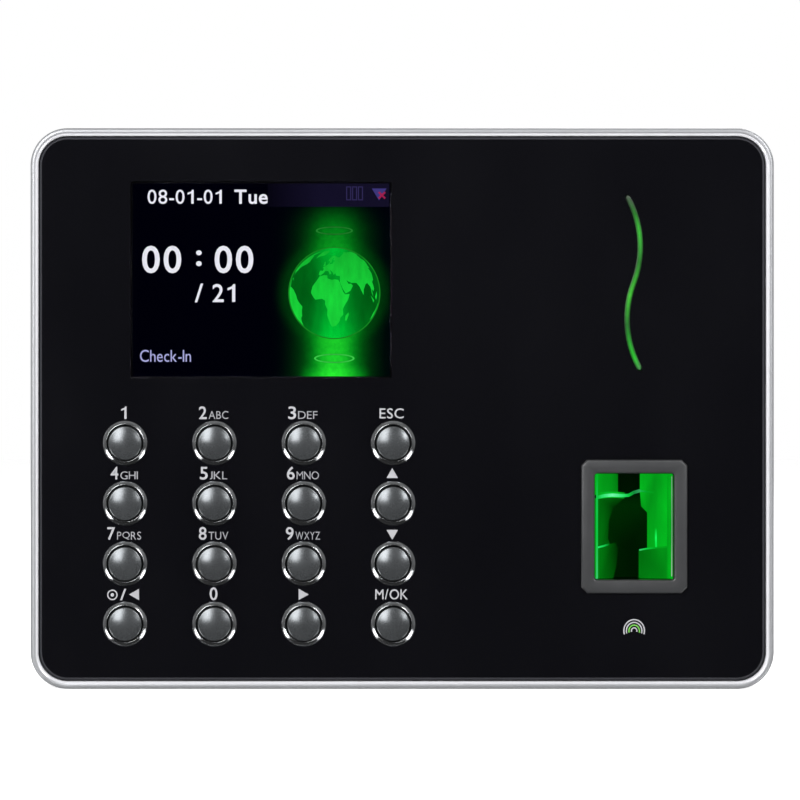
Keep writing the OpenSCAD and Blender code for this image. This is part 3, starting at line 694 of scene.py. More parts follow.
def key_profile():
    """(radius, depth) points: a shallow dome with a rounded rim, then body, flange and stem."""
    meet = KEY_R - EDGE_R
    slope = math.asin(meet / DOME_R)
    turns = [slope * i / DOME_STEPS for i in range(DOME_STEPS + 1)]
    points = [(DOME_R * math.sin(turn), KEY_HI[1] - DOME_R * (1 - math.cos(turn))) for turn in turns]
    dome_edge = points[-1][1]
    for i in range(1, EDGE_STEPS + 1):
        turn = slope + (math.pi / 2 - slope) * i / EDGE_STEPS
        out = (math.sin(turn) - math.sin(slope)) / (1 - math.sin(slope))
        drop = EDGE_R * (math.cos(slope) - math.cos(turn)) * EDGE_DROP
        points.append((meet + EDGE_R * out, dome_edge - drop))
    return points + [(KEY_R, FLANGE[1]), (FLANGE_R, FLANGE[1]), (FLANGE_R, FLANGE[0]),
                     (STEM_R, FLANGE[0]), (STEM_R, KEY_LO[1]), (0, KEY_LO[1])]


# a ring's section, as (inset from the outside, drop from its top)
RING_W = 0.95
CROWN = [(0.0, 0.66), (0.03, 0.60), (0.15, 0.49), (0.35, 0.325), (0.55, 0.18), (0.72, 0.07),
         (0.80, 0.02), (0.85, 0.0), (0.89, 0.02), (0.93, 0.08), (RING_W, 0.20)]
ring_hi = box_mm("key_rings")[1]
ring_out = ring_hi[0] - middle("key_esc")[0]
ring_section = ([(ring_out, SHELL_FACE)]
                + [(ring_out - inset, ring_hi[1] - drop) for inset, drop in CROWN]
                + [(ring_out - RING_W, SHELL_FACE)])
rings = Shape()
for key in KEYS:
    cap = Shape()
    lathe(cap, middle(key), key_profile())
    cap.make("cap_" + key[4:], key, ["key_metal"], [key], sharp=40)
    lathe(rings, middle(key), ring_section, ring=True)
rings.make("ring_set", "case", ["ring_chrome"], ["key_rings"], sharp=50)

# ---- silicone mat: a sheet, and a dome under each key ----

mat_lo, mat_hi = box_mm("key_mat")
JOINTS = frame["record"]["behaviour"]["joints"]
TRAVEL = next(joint["range_m"][1] for joint in JOINTS if joint["child"] == "key_1") / MM
SHEET_TOP = mat_hi[1] - 2 * TRAVEL
SHEET_CORNER = 2.0
DOME_FOOT, DOME_HEAD = 3.9, 2.8
POCKET_FOOT, POCKET_HEAD, POCKET_DEPTH = 3.3, 2.0, 2.19
sheet = Shape()
plate(sheet, [rounded(middle("key_mat"), mat_hi[0] - mat_lo[0], mat_hi[2] - mat_lo[2], SHEET_CORNER)]
      + [disc(middle(key), DOME_FOOT, steps=48) for key in KEYS], mat_lo[1], SHEET_TOP)
sheet.make("mat_sheet", "case", ["silicone"], ["key_mat"])
dome_section = [(POCKET_FOOT, mat_lo[1]), (DOME_FOOT, mat_lo[1]), (DOME_FOOT, SHEET_TOP),
                (DOME_HEAD + 0.15, mat_hi[1] - 0.25), (DOME_HEAD + 0.04, mat_hi[1] - 0.06),
                (DOME_HEAD - 0.15, mat_hi[1]), (0, mat_hi[1]),
                (0, mat_lo[1] + POCKET_DEPTH), (POCKET_HEAD, mat_lo[1] + POCKET_DEPTH)]
for key in KEYS:
    dome = Shape()
    lathe(dome, middle(key), dome_section, 48, ring=True)
    piece = dome.make("dome_" + key[4:], "case", ["silicone"], ["key_mat"], sharp=50)
    left = (mat_hi[1] - TRAVEL - mat_lo[1]) / (mat_hi[1] - mat_lo[1])
    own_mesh(piece)

# ---- print on the panel ----

PRINT = PANEL_FACE - 0.005
INK_T = 0.02
BOLD = 0.012
DIGIT_H, DIGIT_W, ONE_SHARE = 2.95, 1.85, 0.82
SMALL_H, SMALL_GAP = 1.85, 0.45
WORD_H, WORD_BOLD = 2.35, 0.006
SLASH_H, SLASH_W = 2.6, 1.5
# how far above a key its legend stands, and how far left of the key's middle
BASE_UP, WORD_UP, ARROW_UP = 5.7, 5.85, 7.0
ASIDE, ONE_ASIDE, WORD_ASIDE = 0.2, 0.4, 0.35
ARROW = 1.35
TARGET_R = (1.25, 0.95, 0.42)
TARGET_X, SLASH_X, BACK_X = -3.0, -1.2, 2.3


def ink(shape, outlines, look=0):
    """Prints a flat shape on the panel."""
    plate(shape, outlines, PRINT, PRINT + INK_T, look)


def triangle(centre, points_to, size):
    """Outline of an arrow head pointing left, right, up or down."""
    dx, dz = {"left": (-1, 0), "right": (1, 0), "up": (0, 1), "down": (0, -1)}[points_to]
    x, z = centre
    tail = (x - dx * size * 0.75, z - dz * size * 0.75)
    return [(x + dx * size, z + dz * size), (tail[0] - dz * size, tail[1] + dx * size),
            (tail[0] + dz * size, tail[1] - dx * size)]


# the digit over a key, the letters beside it and how wide they are
legends = {
    "key_1": ("1", "", 0.0), "key_2": ("2", "ABC", 4.65), "key_3": ("3", "DEF", 4.6),
    "key_4": ("4", "GHI", 4.15), "key_5": ("5", "JKL", 4.15), "key_6": ("6", "MNO", 5.3),
    "key_7": ("7", "PQRS", 5.7), "key_8": ("8", "TUV", 4.7), "key_9": ("9", "WXYZ", 5.8),
    "key_0": ("0", "", 0.0),
}
print_shape = Shape()
for key, (digit, small, small_w) in legends.items():
    x, z = middle(key)
    gap = SMALL_GAP if small else 0.0
    wide = DIGIT_W * (ONE_SHARE if digit == "1" else 1.0)
    left = x - (ONE_ASIDE if digit == "1" else ASIDE) - (wide + gap + small_w) / 2
    end = write(print_shape, digit, left, z + BASE_UP, DIGIT_H, PRINT, wide, BOLD, INK_T)
    if small:
        write(print_shape, small, end + gap, z + BASE_UP, SMALL_H, PRINT, small_w, 0.0, INK_T, 1)
for key, word, wide in (("key_esc", "ESC", 5.75), ("key_ok", "M/OK", 7.75)):
    x, z = middle(key)
    write(print_shape, word, x - WORD_ASIDE - wide / 2, z + WORD_UP, WORD_H, PRINT, wide,
          WORD_BOLD, INK_T)
for key, way, aside in (("key_up", "up", -ASIDE), ("key_down", "down", -ASIDE),
                        ("key_right", "right", -ASIDE), ("key_left", "left", BACK_X)):
    x, z = middle(key)
    ink(print_shape, [triangle((x + aside, z + ARROW_UP), way, ARROW)])
x, z = middle("key_left")
target = [disc((x + TARGET_X, z + ARROW_UP - 0.1), radius) for radius in TARGET_R]
ink(print_shape, target[:2])
ink(print_shape, target[2:])
write(print_shape, "/", x + SLASH_X, z + BASE_UP, SLASH_H, PRINT, SLASH_W, BOLD, INK_T)
print_shape.make("panel_print", "case", ["print_ink", "print_ink_small"])

# a small emblem of fingertip ridges under the reader
EMBLEM = (READER[0], READER[1] - 24.7)
RIDGES = (0.7, 1.35, 2.0, 2.65)
GREEN_RIDGE = 1
RIDGE_W = 0.30
RIDGE_SQUEEZE = 0.92
emblem = Shape()
for i, radius in enumerate(RIDGES):
    turns = [math.radians(a) for a in range(-18, 199, 9)]
    arc = [(EMBLEM[0] + radius * math.cos(turn) * RIDGE_SQUEEZE, EMBLEM[1] + radius * math.sin(turn))
           for turn in turns]
    ink(emblem, [stroke(arc, RIDGE_W)], int(i == GREEN_RIDGE))
emblem.make("panel_emblem", "case", ["print_ink", "print_ink_green"])

# ---- the lit picture ----

GAP = SHELL_FACE - SCREEN_FACE
LAYER = [SCREEN_FACE + GAP * share for share in (0.15, 0.35, 0.55, 0.75)]
SHEET = GAP * 0.15
WHITE, STATUS = (0.85, 0.85, 0.92), (0.42, 0.42, 0.75)
LAND = (0.010, 0.66, 0.042)


def sheet_on(shape, layer, outlines, tone=(0.0, 0.0, 0.0), lift=0.0):
    """A thin sheet of one colour on one of the picture's layers."""
    plate(shape, outlines, LAYER[layer] - SHEET, LAYER[layer] + lift, 0, tone)


picture = Shape()
sheet_on(picture, 0, [rounded(SCREEN, *PICTURE, 0.2, steps=2)])
picture.make("screen_picture", "case", ["screen_picture"])


def on_screen(outline):
    return [(SCREEN[0] + x, SCREEN[1] + z) for x, z in outline]


def upright(left, foot, right, top):
    """Outline of an upright rectangle on the screen, from its middle."""
    return on_screen([(left, foot), (right, foot), (right, top), (left, top)])


# the status bar in steps that fade in from the left, three empty gauges, and a crossed-out funnel
BAR_LEFT, BAR_STEP, BAR_STEPS, BAR_FADE, BAR_H = 1.5, 1.2, 24, 10, 5.5
BAR_TONE = (0.0065, 0.0052, 0.020)
GAUGES, GAUGE_STEP, GAUGE_W, GAUGE_RIM = 20.1, 1.4, 1.2, 0.25
GAUGE_FOOT, GAUGE_TOP = 18.9, 22.2
GAUGE_TONE = (0.028, 0.022, 0.085)
FUNNEL = [(26.2, 21.7), (29.7, 21.7), (27.9, 18.9)]
FUNNEL_TONE = (0.05, 0.04, 0.20)
CROSS, CROSS_R, CROSS_W = (28.6, 20.1), 0.75, 0.45
CROSS_TONE = (0.34, 0.015, 0.075)
icons = Shape()
for i in range(BAR_STEPS):
    a = BAR_LEFT + i * BAR_STEP
    glow = 0.3 + 0.7 * min(1.0, i / BAR_FADE)
    sheet_on(icons, 1, [upright(a, PICTURE[1] / 2 - BAR_H, BAR_LEFT + (i + 1) * BAR_STEP,
                                PICTURE[1] / 2)], shade(BAR_TONE, glow))
for i in range(3):
    a = GAUGES + i * GAUGE_STEP
    sheet_on(icons, 2, [upright(a + rim, GAUGE_FOOT + rim, a + GAUGE_W - rim, GAUGE_TOP - rim)
                        for rim in (0.0, GAUGE_RIM)], GAUGE_TONE)
sheet_on(icons, 2, [on_screen(FUNNEL)], FUNNEL_TONE)
for lean in (-1, 1):
    bar = [(CROSS[0] + end * CROSS_R, CROSS[1] + end * CROSS_R * lean) for end in (-1, 1)]
    sheet_on(icons, 3, [on_screen(stroke(bar, CROSS_W))], CROSS_TONE, 0.01 * lean)
icons.make("screen_icons", "case", ["screen_ink"])

# each word's left end, base, height, width, weight and tone
WORDS = [
    ("08-01-01", -27.0, 18.1, 3.3, 17.6, 0.004, WHITE), ("Tue", -6.4, 18.15, 3.3, 7.9, 0.018, WHITE),
    ("00", -28.3, 1.8, 6.25, 9.3, 0.014, WHITE), (":", -15.5, 3.5, 5.2, 1.35, 0.02, WHITE),
    ("00", -11.1, 1.8, 6.25, 9.2, 0.014, WHITE), ("/", -15.8, -5.2, 4.3, 2.0, 0.006, WHITE),
    ("21", -11.6, -5.2, 4.2, 5.4, 0.008, WHITE), ("Check-In", -28.8, -19.4, 2.8, 12.1, 0.0, STATUS),
]
text = Shape()
for word, left, base, height, width, weight, tone in WORDS:
    count = len(text.points)
    write(text, word, SCREEN[0] + left, SCREEN[1] + base, height, LAYER[2] - SHEET, width, weight, SHEET)
    text.marks[count:] = [tone] * (len(text.points) - count)
text.make("screen_text", "case", ["screen_ink"])

# ---- the globe: sphere outlines seen from far away, with rough continents ----

VIEW_LAT, VIEW_LON = 14.0, 24.5
WIDE_VIEW = 0.77
COASTS = [
    # Africa
    [(-17, 15), (-16, 21), (-10, 29), (-6, 35), (3, 37), (10, 37), (11, 33), (20, 31), (25, 32),
     (32, 31), (35, 27), (37, 22), (40, 15), (43, 12), (51, 12), (48, 5), (42, -2), (39, -7),
     (40, -15), (35, -20), (35, -24), (32, -28), (28, -33), (20, -35), (17, -30), (14, -22),
     (12, -16), (13, -8), (9, -1), (9, 4), (4, 6), (-4, 5), (-8, 4), (-13, 8), (-17, 12)],
    [(49, -12), (50, -16), (47, -25), (44, -24), (44, -17)],
    # Europe and Asia
    [(-9, 37), (-9, 43), (-2, 43), (-1, 46), (-5, 48), (2, 51), (8, 54), (9, 57), (12, 54),
     (20, 55), (22, 58), (28, 60), (21, 61), (21, 63), (25, 65), (21, 66), (17, 62), (16, 57),
     (12, 56), (10, 59), (5, 59), (6, 63), (14, 68), (25, 71), (40, 67), (44, 66), (55, 69),
     (70, 72), (80, 73), (100, 77), (110, 74), (130, 72), (150, 70), (160, 66), (160, 60),
     (142, 59), (135, 54), (140, 48), (130, 42), (127, 37), (122, 39), (121, 31), (115, 23),
     (108, 21), (109, 12), (105, 9), (100, 13), (103, 2), (99, 8), (98, 16), (92, 22), (87, 21),
     (80, 15), (78, 8), (74, 15), (72, 20), (67, 25), (57, 26), (52, 28), (48, 30), (51, 25),
     (56, 25), (59, 22), (53, 16), (44, 13), (39, 20), (35, 28), (36, 36), (28, 37), (27, 40),
     (23, 38), (20, 42), (14, 45), (18, 40), (15, 38), (11, 43), (4, 43), (0, 39), (-5, 36)],
    [(-5, 50), (1, 51), (0, 53), (-3, 58), (-6, 57), (-4, 54)],
    # Greenland, then the coasts on the left limb
    [(-52, 65), (-44, 60), (-40, 65), (-22, 70), (-20, 78), (-35, 83), (-60, 82), (-68, 76),
     (-55, 70)],
    [(-56, 52), (-60, 47), (-66, 44), (-70, 42), (-75, 38), (-76, 35), (-81, 31), (-80, 26),
     (-83, 29), (-90, 30), (-92, 30), (-92, 70), (-80, 74), (-78, 62), (-70, 62), (-64, 59)],
    [(-92, 17), (-88, 21), (-87, 16), (-83, 14), (-82, 9), (-77, 8), (-84, 8), (-92, 14)],
    [(-84, 22), (-78, 23), (-74, 20)],
    [(-35, -8), (-38, -14), (-41, -22), (-48, -27), (-54, -34), (-58, -38), (-64, -42),
     (-70, -46), (-90, -46), (-90, 10), (-72, 11), (-62, 10), (-52, 5), (-48, 0), (-44, -3)],
    # the islands and Australia, on the right limb
    [(95, 5), (104, -6), (106, -3), (98, 3)], [(109, 1), (117, 7), (118, 1), (114, -4)],
    [(114, -22), (114, -34), (124, -33), (131, -31), (138, -35), (146, -38), (153, -28), (146, -19),
     (142, -11), (140, -17), (131, -11), (122, -18)],
]


def on_globe(lon, lat, radius):
    """A place on the globe as the viewer sees it; one behind the limb moves onto the limb."""
    dl = math.radians(lon - VIEW_LON) * WIDE_VIEW
    la, vl = math.radians(lat), math.radians(VIEW_LAT)
    x = math.cos(la) * math.sin(dl)
    z = math.cos(vl) * math.sin(la) - math.sin(vl) * math.cos(la) * math.cos(dl)
    facing = math.sin(vl) * math.sin(la) + math.cos(vl) * math.cos(la) * math.cos(dl)
    if facing < 0:
        size = math.hypot(x, z)
        x, z = x / size, z / size
    return SCREEN[0] + GLOBE[0] + radius * x, SCREEN[1] + GLOBE[1] + radius * z


def refined(outline, step=2.5):
    """The same coast with points close enough together to bend with the globe."""
    points = []
    for (a, b), (c, d) in zip(outline, outline[1:] + outline[:1]):
        parts = max(1, round(math.hypot(c - a, d - b) / step))
        points += [(a + (c - a) * i / parts, b + (d - b) * i / parts) for i in range(parts)]
    return points


def sea(x, z):
    """Colour of the globe's water at a place from its centre: deeper where the beam is far."""
    rim = math.hypot(x, z) / GLOBE_R
    pole = math.exp(-(x / POLE_W) ** 2) * (z / GLOBE_R) ** 2
    level = SEA_LEVEL + SEA_RIM * rim ** 4 + SEA_BEAM * beam_level(x, z + GLOBE[1]) + POLE_LEVEL * pole
    return (0.0, level, level * 0.06)


BANDS = 12
LAND_SHARE = 0.985
LINE_W = 0.26
LINE_TONE = (0.01, 0.24, 0.016)
NORTH_FADE = 0.32
# each ring of light in the beam: its height, half width, half height and brightness
BEAM_RINGS = [(11.7, 4.4, 1.0, 0.24), (-18.6, 4.8, 1.1, 0.70)]
RING_LINE = (0.45, 0.30)
centre = (SCREEN[0] + GLOBE[0], SCREEN[1] + GLOBE[1])
radii = [GLOBE_R * k / BANDS for k in range(BANDS + 1)]
globe = Shape()
lathe(globe, centre, [(r, LAYER[1]) for r in radii] + [(r, LAYER[1] - SHEET) for r in radii[::-1]])
globe.marks = [sea(x / MM - centre[0], z / MM - centre[1]) for x, _, z in globe.points]
for coast in COASTS:
    count = len(globe.points)
    sheet_on(globe, 2, [[on_globe(lon, lat, GLOBE_R * LAND_SHARE) for lon, lat in refined(coast)]])
    north = [max(0.0, z / MM - centre[1]) / GLOBE_R for _, _, z in globe.points[count:]]
    globe.marks[count:] = [shade(LAND, 1 - NORTH_FADE * up) for up in north]
sheet_on(globe, 3, [disc(centre, GLOBE_R + side * LINE_W / 2, steps=96) for side in (1, -1)],
         LINE_TONE)
for up, rx, rz, tone in BEAM_RINGS:
    place = (SCREEN[0] + BEAM_X, SCREEN[1] + up)
    count = len(globe.points)
    sheet_on(globe, 3, [disc(place, rx, rz), disc(place, rx - RING_LINE[0], rz - RING_LINE[1])])
    ends = [tone * (0.35 + 0.65 * abs(x / MM - place[0]) / rx) for x, _, _ in globe.points[count:]]
    globe.marks[count:] = [(level * 0.08, level, level * 0.12) for level in ends]
globe.make("screen_globe", "case", ["screen_glow"], sharp=60)

# ---- lit strip ----

ARC_CHORD = 10.125
ARC_RISE = 2.2
ARC_R = ARC_CHORD ** 2 / (2 * ARC_RISE) + ARC_RISE / 2
ARC_HALF = math.asin(ARC_CHORD / ARC_R)
TILT = math.radians(3.9)
STRIP_W = 1.3
# shares of the strip's length: how far each end runs on past its line, how far each round end
# reaches, and how far the top is narrow
STRIP_END, STRIP_TIP, NARROW_TOP = 0.010, 1 / 56, 0.04
NARROW_SHARE = 0.86
STRIP_STEPS = 96
SINK = 1.6
# the strip's front, as (place from its middle to its edges, drop)
LENS = [(-1.0, 0.12), (-0.55, 0.03), (0.0, 0.0), (0.55, 0.03), (1.0, 0.12)]
# the plate behind it: width, height and corner, and its side as (inset, height)
BACKING = (12, 46, 1.5)
BACKING_SIDE = [(0.2, 0.0), (0.0, 0.2), (0.0, 1.3), (0.2, 1.5)]


def strip_line(share):
    """Point and direction on the S-shaped line, from its top end (0) to its bottom end (1)."""
    side = 1 if share < 0.5 else -1
    turn = ARC_HALF * (2 - side - 4 * share)
    x = side * (ARC_RISE - ARC_R + ARC_R * math.cos(turn))
    z = side * ARC_CHORD + ARC_R * math.sin(turn)
    dx, dz = side * math.sin(turn), -math.cos(turn)
    c, s = math.cos(TILT), math.sin(TILT)
    return (LIGHT[0] + x * c - z * s, LIGHT[1] + x * s + z * c), (dx * c - dz * s, dx * s + dz * c)


guide_lo, guide_hi = box_mm("light_guide")
lens = ([(-1.0, guide_lo[1] + SINK)] + [(side, guide_hi[1] - drop) for side, drop in LENS]
        + [(1.0, guide_lo[1] + SINK)])
rows, marks = [], []
for i in range(STRIP_STEPS + 1):
    share = i / STRIP_STEPS
    (x, z), (dx, dz) = strip_line(share + STRIP_END * (2 * share - 1))
    tip = min(1.0, min(share, 1 - share) / STRIP_TIP)
    half = STRIP_W / 2 * max(0.25, math.sqrt(1 - (1 - tip) ** 2))
    half *= NARROW_SHARE if share < NARROW_TOP else 1.0
    rows.append([(x - dz * side * half, depth, z + dx * side * half) for side, depth in lens])
    marks += [(share, abs(side), 0.0) for side, _ in lens]
strip = Shape()
skin(strip, rows, marks=marks)
loft(strip, [(rounded(LIGHT, BACKING[0] - 2 * cut, BACKING[1] - 2 * cut, BACKING[2] - cut, steps=6),
              guide_lo[1] + rise) for cut, rise in BACKING_SIDE], looks=[1] * 3)
strip.make("light_strip", "case", ["light_strip", "light_green"], ["light_guide"])

# ---- fingerprint reader ----

bez_lo, bez_hi = box_mm("sensor_bezel")
BEZEL = (bez_hi[0] - bez_lo[0], bez_hi[2] - bez_lo[2])
WINDOW = (18.8, 25.2)
NECK = (23.4, 29.9)
face = bez_hi[1]
# each loop is an outline's size, how much smaller the loop is, its corner and its depth
outside = [(NECK, 0.0, 0.9, bez_lo[1]), (NECK, 0.0, 0.9, PANEL_FACE), (BEZEL, 0.0, 1.4, PANEL_FACE),
           (BEZEL, 0.0, 1.4, face - 0.50), (BEZEL, 0.16, 1.36, face - 0.26),
           (BEZEL, 0.5, 1.28, face - 0.07), (BEZEL, 0.95, 1.18, face)]
inside = [(WINDOW, -0.9, 0.9, face), (WINDOW, -0.5, 0.8, face - 0.06),
          (WINDOW, -0.14, 0.75, face - 0.24), (WINDOW, 0.0, 0.7, face - 0.45),
          (WINDOW, 0.0, 0.7, bez_lo[1])]
bezel = Shape()
loft(bezel, [(outline(READER, w - less, h - less, corner, steps=8), depth)
             for outline, loops in ((cut_corners, outside), (rounded, inside))
             for (w, h), less, corner, depth in loops], ring=True)
bezel.make("reader_bezel", "case", ["bezel_grey"], ["sensor_bezel"], sharp=42)

glass_face = box_mm("sensor_prism")[1][1]
GLASS = (WINDOW[0] - 0.2, WINDOW[1] - 0.2)
GLASS_CORNER, GLASS_T, GLASS_EDGE = 0.65, 1.0, 0.15
pane = Shape()
loft(pane, [(rounded(READER, GLASS[0] - 2 * cut, GLASS[1] - 2 * cut, GLASS_CORNER - cut, steps=6),
             glass_face - drop)
            for cut, drop in ((0.0, GLASS_T), (0.0, GLASS_EDGE), (GLASS_EDGE, 0.0))])
pane.make("reader_glass", "case", ["reader_glass"], ["sensor_prism"])

# the walls seen in the glass glow with painted light; they lie near it at the sides, and deeper towards
# the dark middle
NEAR, MID, FAR = glass_face - 1.1, glass_face - 3.0, glass_face - 5.5
STEP_BACK = 0.3
SIDES = (0.10, 0.93)
WALL_T, GLOW_T = 0.25, 0.2


def in_window(u, v):
    """A place in the reader's window, from its top left corner."""
    return READER[0] + (u - 0.5) * (GLASS[0] - 0.3), READER[1] + (0.5 - v) * (GLASS[1] - 0.3)


def green(level, white=0.0):
    """A green of some level that turns to mint and then to white: the painted light on the reader's
    walls.
    """
    return (level * (0.003 + 1.1 * white ** 2), level, level * (0.03 + white))


# each wall is a ring of (u, v, level of green) corners; the level is painted light
WALLS = [
    # left of the dark middle
    [(0.0, 0.0, 0.42), (0.10, 0.0, 0.32), (0.10, 0.19, 0.36), (0.0, 0.20, 0.42)],
    [(0.10, 0.0, 0.32), (0.30, 0.0, 0.20), (0.30, 0.20, 0.24), (0.10, 0.19, 0.36)],
    [(0.0, 0.23, 0.36), (0.06, 0.23, 0.13), (0.06, 0.70, 0.12), (0.0, 0.71, 0.36)],
    [(0.06, 0.23, 0.13), (0.38, 0.235, 0.06), (0.24, 0.32, 0.030), (0.19, 0.40, 0.045),
     (0.17, 0.62, 0.085), (0.20, 0.68, 0.11), (0.06, 0.70, 0.17)],
    [(0.0, 0.70, 0.40), (0.06, 0.71, 0.16), (0.06, 1.0, 0.16), (0.0, 1.0, 0.40)],
    [(0.06, 0.71, 0.18), (0.16, 0.68, 0.13), (0.27, 0.66, 0.035), (0.30, 0.72, 0.025),
     (0.28, 0.88, 0.045), (0.24, 1.0, 0.08), (0.06, 1.0, 0.16)],
    # right of the dark middle
    [(0.585, 0.0, 0.44), (0.80, 0.0, 0.33), (0.80, 0.36, 0.36), (0.68, 0.37, 0.32), (0.60, 0.31, 0.30),
     (0.585, 0.15, 0.48)],
    [(0.80, 0.0, 0.33), (0.93, 0.0, 0.40), (0.93, 0.36, 0.52), (0.80, 0.36, 0.36)],
    [(0.68, 0.37, 0.32), (0.80, 0.36, 0.36), (0.80, 0.73, 0.44), (0.68, 0.735, 0.36)],
    [(0.80, 0.36, 0.36), (0.93, 0.36, 0.50), (0.93, 0.71, 0.50), (0.80, 0.73, 0.40)],
    [(0.93, 0.0, 0.36), (1.0, 0.0, 0.44), (1.0, 1.0, 0.42), (0.93, 1.0, 0.34)],
    [(0.57, 0.735, 0.13), (0.93, 0.70, 0.29), (0.93, 1.0, 0.25), (0.57, 1.0, 0.18)],
]
# the dark middle, in planes that step back: a depth, then the corners; their faint green is painted
# light
PLANES = [
    (MID - STEP_BACK, [(0.14, 0.0, 0.004), (0.76, 0.0, 0.004), (0.76, 0.2, 0.006), (0.14, 0.2, 0.006)]),
    (FAR, [(0.40, 0.20, 0.010), (0.60, 0.17, 0.006), (0.88, 0.30, 0.014), (0.88, 0.73, 0.012),
           (0.40, 0.73, 0.006), (0.06, 0.73, 0.024), (0.06, 0.30, 0.026)]),
    (FAR - STEP_BACK, [(0.06, 0.68, 0.011), (0.88, 0.68, 0.006), (0.88, 1.0, 0.004),
                       (0.06, 1.0, 0.011)]),
]
# each painted highlight is a width and a path of (u, v, level of green and any share of white)
PAINTED_HIGHLIGHTS = [
    (1.45, [(0.03, 0.208, 0.40), (0.16, 0.198, 0.52, 0.02), (0.28, 0.198, 0.50),
            (0.38, 0.205, 0.24)]),
    (0.75, [(0.03, 0.222, 0.60, 0.05), (0.12, 0.206, 0.85, 0.2), (0.22, 0.200, 0.95, 0.4),
            (0.34, 0.205, 0.85, 0.2), (0.43, 0.203, 0.55, 0.05), (0.50, 0.175, 0.25, 0.15),
            (0.58, 0.158, 0.38, 0.3)]),
    (0.40, [(0.58, 0.158, 0.50, 0.15), (0.66, 0.168, 0.40, 0.02), (0.78, 0.176, 0.30)]),
    (0.42, [(0.02, 0.705, 0.85, 0.15), (0.10, 0.690, 0.70, 0.1), (0.18, 0.672, 0.16)]),
    (0.38, [(0.57, 0.728, 0.60, 0.25), (0.66, 0.715, 0.60, 0.05), (0.80, 0.705, 0.34),
            (0.95, 0.695, 0.36)]),
    (0.45, [(0.785, 0.52, 0.44), (0.785, 0.61, 0.95, 0.08), (0.787, 0.70, 0.75, 0.04)]),
    (0.42, [(0.025, 0.0, 0.45, 0.02), (0.022, 0.25, 0.62, 0.10), (0.022, 0.60, 0.58, 0.08),
            (0.022, 1.0, 0.60, 0.25)]),
    (0.20, [(0.99, 0.02, 0.35, 0.75), (0.992, 0.5, 0.30, 0.75), (0.99, 0.98, 0.45, 0.85)]),
]
walls = Shape()
for corners in WALLS:
    slab(walls, [(*in_window(u, v), MID if SIDES[0] < u < SIDES[1] else NEAR, green(level))
                 for u, v, level in corners], WALL_T)
for depth, corners in PLANES:
    slab(walls, [(*in_window(u, v), depth, green(level)) for u, v, level in corners], WALL_T)
for rank, (width, path) in enumerate(PAINTED_HIGHLIGHTS):
    band = stroke([in_window(u, v) for u, v, *_ in path], width)
    tones = [green(*tone) for _, _, *tone in path]
    depth, last = NEAR + 0.01 * (rank + 1), len(band) - 1
    slab(walls, [(x, z, depth, tone) for (x, z), tone in zip(band, tones + tones[::-1])], GLOW_T,
         [[i, i + 1, last - i - 1, last - i] for i in range(len(path) - 1)])
walls.make("reader_painted_light_walls", "case", ["reader_painted_glow"], sharp=20)

# ---- floor, light and camera ----

lo, hi = cad_bounds
FLOOR = 3.0
CORNERS = ((-1, -1), (1, -1), (1, 1), (-1, 1))
floor_mesh = bpy.data.meshes.new("floor")
floor_mesh.from_pydata([(FLOOR * x, FLOOR * y, lo.z) for x, y in CORNERS], [], [(0, 1, 2, 3)])
floor = bpy.data.objects.new("floor", floor_mesh)
bpy.context.scene.collection.objects.link(floor)
plain_look("floor_card", (0.86, 0.86, 0.86), 0.015, (0.6, 0.7), 3.0, 0.02, 200.0,
           Emission_Strength=0.75, Emission_Color=(1.0, 1.0, 1.0, 1.0))
floor_mesh.materials.append(LOOKS["floor_card"])
floor.visible_glossy = False
floor.visible_transmission = False


def softbox(name, toward, distance, size, power):
    """A soft lamp out in a direction from the object, facing it."""
    lamp = bpy.data.lights.new(name, "AREA")
    lamp.shape = "RECTANGLE"
    lamp.size, lamp.size_y = size
    lamp.energy = power
    holder = bpy.data.objects.new(name, lamp)
    direction = Vector(toward).normalized()
    holder.location = direction * distance
    holder.rotation_mode = "QUATERNION"
    holder.rotation_quaternion = direction.to_track_quat("Z", "Y")
    holder.visible_camera = False
    bpy.context.scene.collection.objects.link(holder)


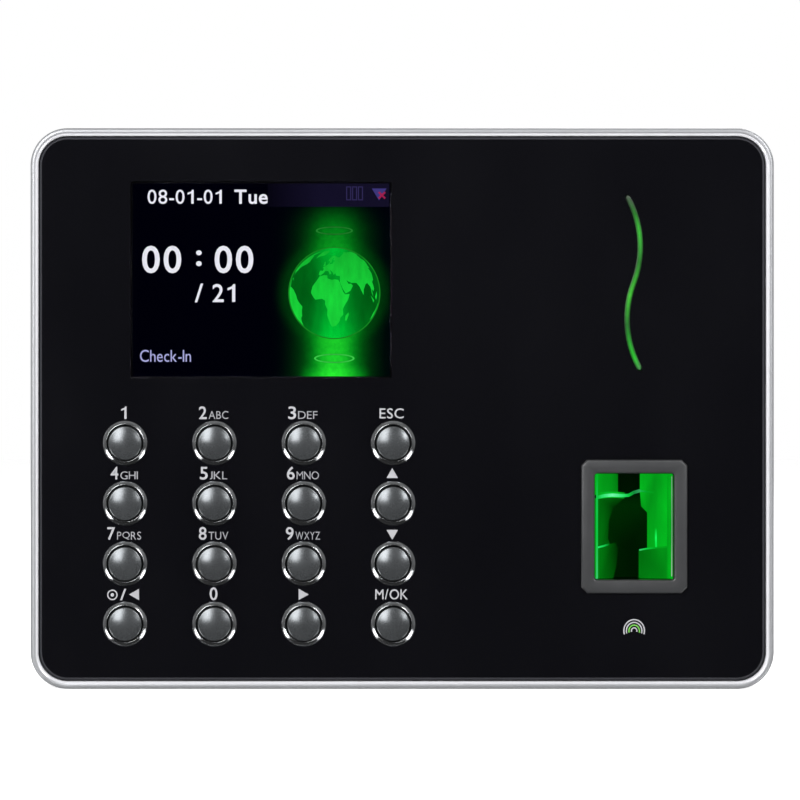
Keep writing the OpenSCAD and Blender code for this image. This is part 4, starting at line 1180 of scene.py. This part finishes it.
softbox("key_light", (-0.55, -1.0, 0.50), 1.2, (0.50, 0.80), 15)
softbox("side_light", (0.72, -0.92, 0.55), 1.2, (0.14, 0.60), 8)
softbox("low_left", (-1.0, -0.42, -0.64), 1.0, (0.22, 0.35), 5)
softbox("low_right", (1.0, -0.42, -0.82), 1.0, (0.22, 0.40), 4)
softbox("rear_light", (0.5, 1.0, 0.8), 1.4, (1.0, 1.0), 9)
softbox("top_light", (0.0, -0.1, 1.0), 1.3, (1.3, 0.9), 0.8)

world = bpy.data.worlds.new("studio")
bpy.context.scene.world = world
world.use_nodes = True
tree = world.node_tree
tree.nodes.clear()
around = add_node(tree, "TexCoord")
split = add_node(tree, "SeparateXYZ", {0: around}).node


def studio_level(axis, stops):
    """Grey of the surroundings by how far a direction points along an axis, from -1 to 1."""
    shift = add_node(tree, "MapRange", {"Value": split.outputs[axis], "From Min": -1.0})
    return add_ramp(tree, shift, [((at + 1) / 2, (level,) * 3) for at, level in stops])


# dark in front of the face, paler to the sides and behind, dark below and dim overhead
ahead = studio_level("Y", [(-1.0, 0.045), (-0.68, 0.06), (-0.32, 0.26), (-0.04, 0.46), (1.0, 0.50)])
height = studio_level("Z", [(-1.0, 0.20), (-0.45, 0.22), (-0.10, 0.85), (0.1, 1.0), (1.0, 0.5)])
sky = add_node(tree, "Background", {
    "Color": add_node(tree, "VectorMath", {0: ahead, 1: height}, operation="MULTIPLY")})
# the camera sees plain white there
seen = add_node(tree, "Background", {"Color": (1.0, 1.0, 1.0, 1.0)})
shown = add_node(tree, "MixShader", {0: add_node(tree, "LightPath"), 1: sky, 2: seen})
add_node(tree, "OutputWorld", {"Surface": shown})
bpy.context.scene.view_settings.view_transform = "Standard"

CAMERA_X, CAMERA_Z, CAMERA_DISTANCE = -0.00052, 0.00203, 0.7875
camera_data = bpy.data.cameras.new("camera")
camera_data.lens = 150
camera_data.sensor_width = 36
camera_data.clip_start = 0.01
camera = bpy.data.objects.new("camera", camera_data)
bpy.context.scene.collection.objects.link(camera)
camera.location = (CAMERA_X, lo.y - CAMERA_DISTANCE, CAMERA_Z)
camera.rotation_euler = (math.pi / 2, 0, 0)
bpy.context.scene.camera = camera
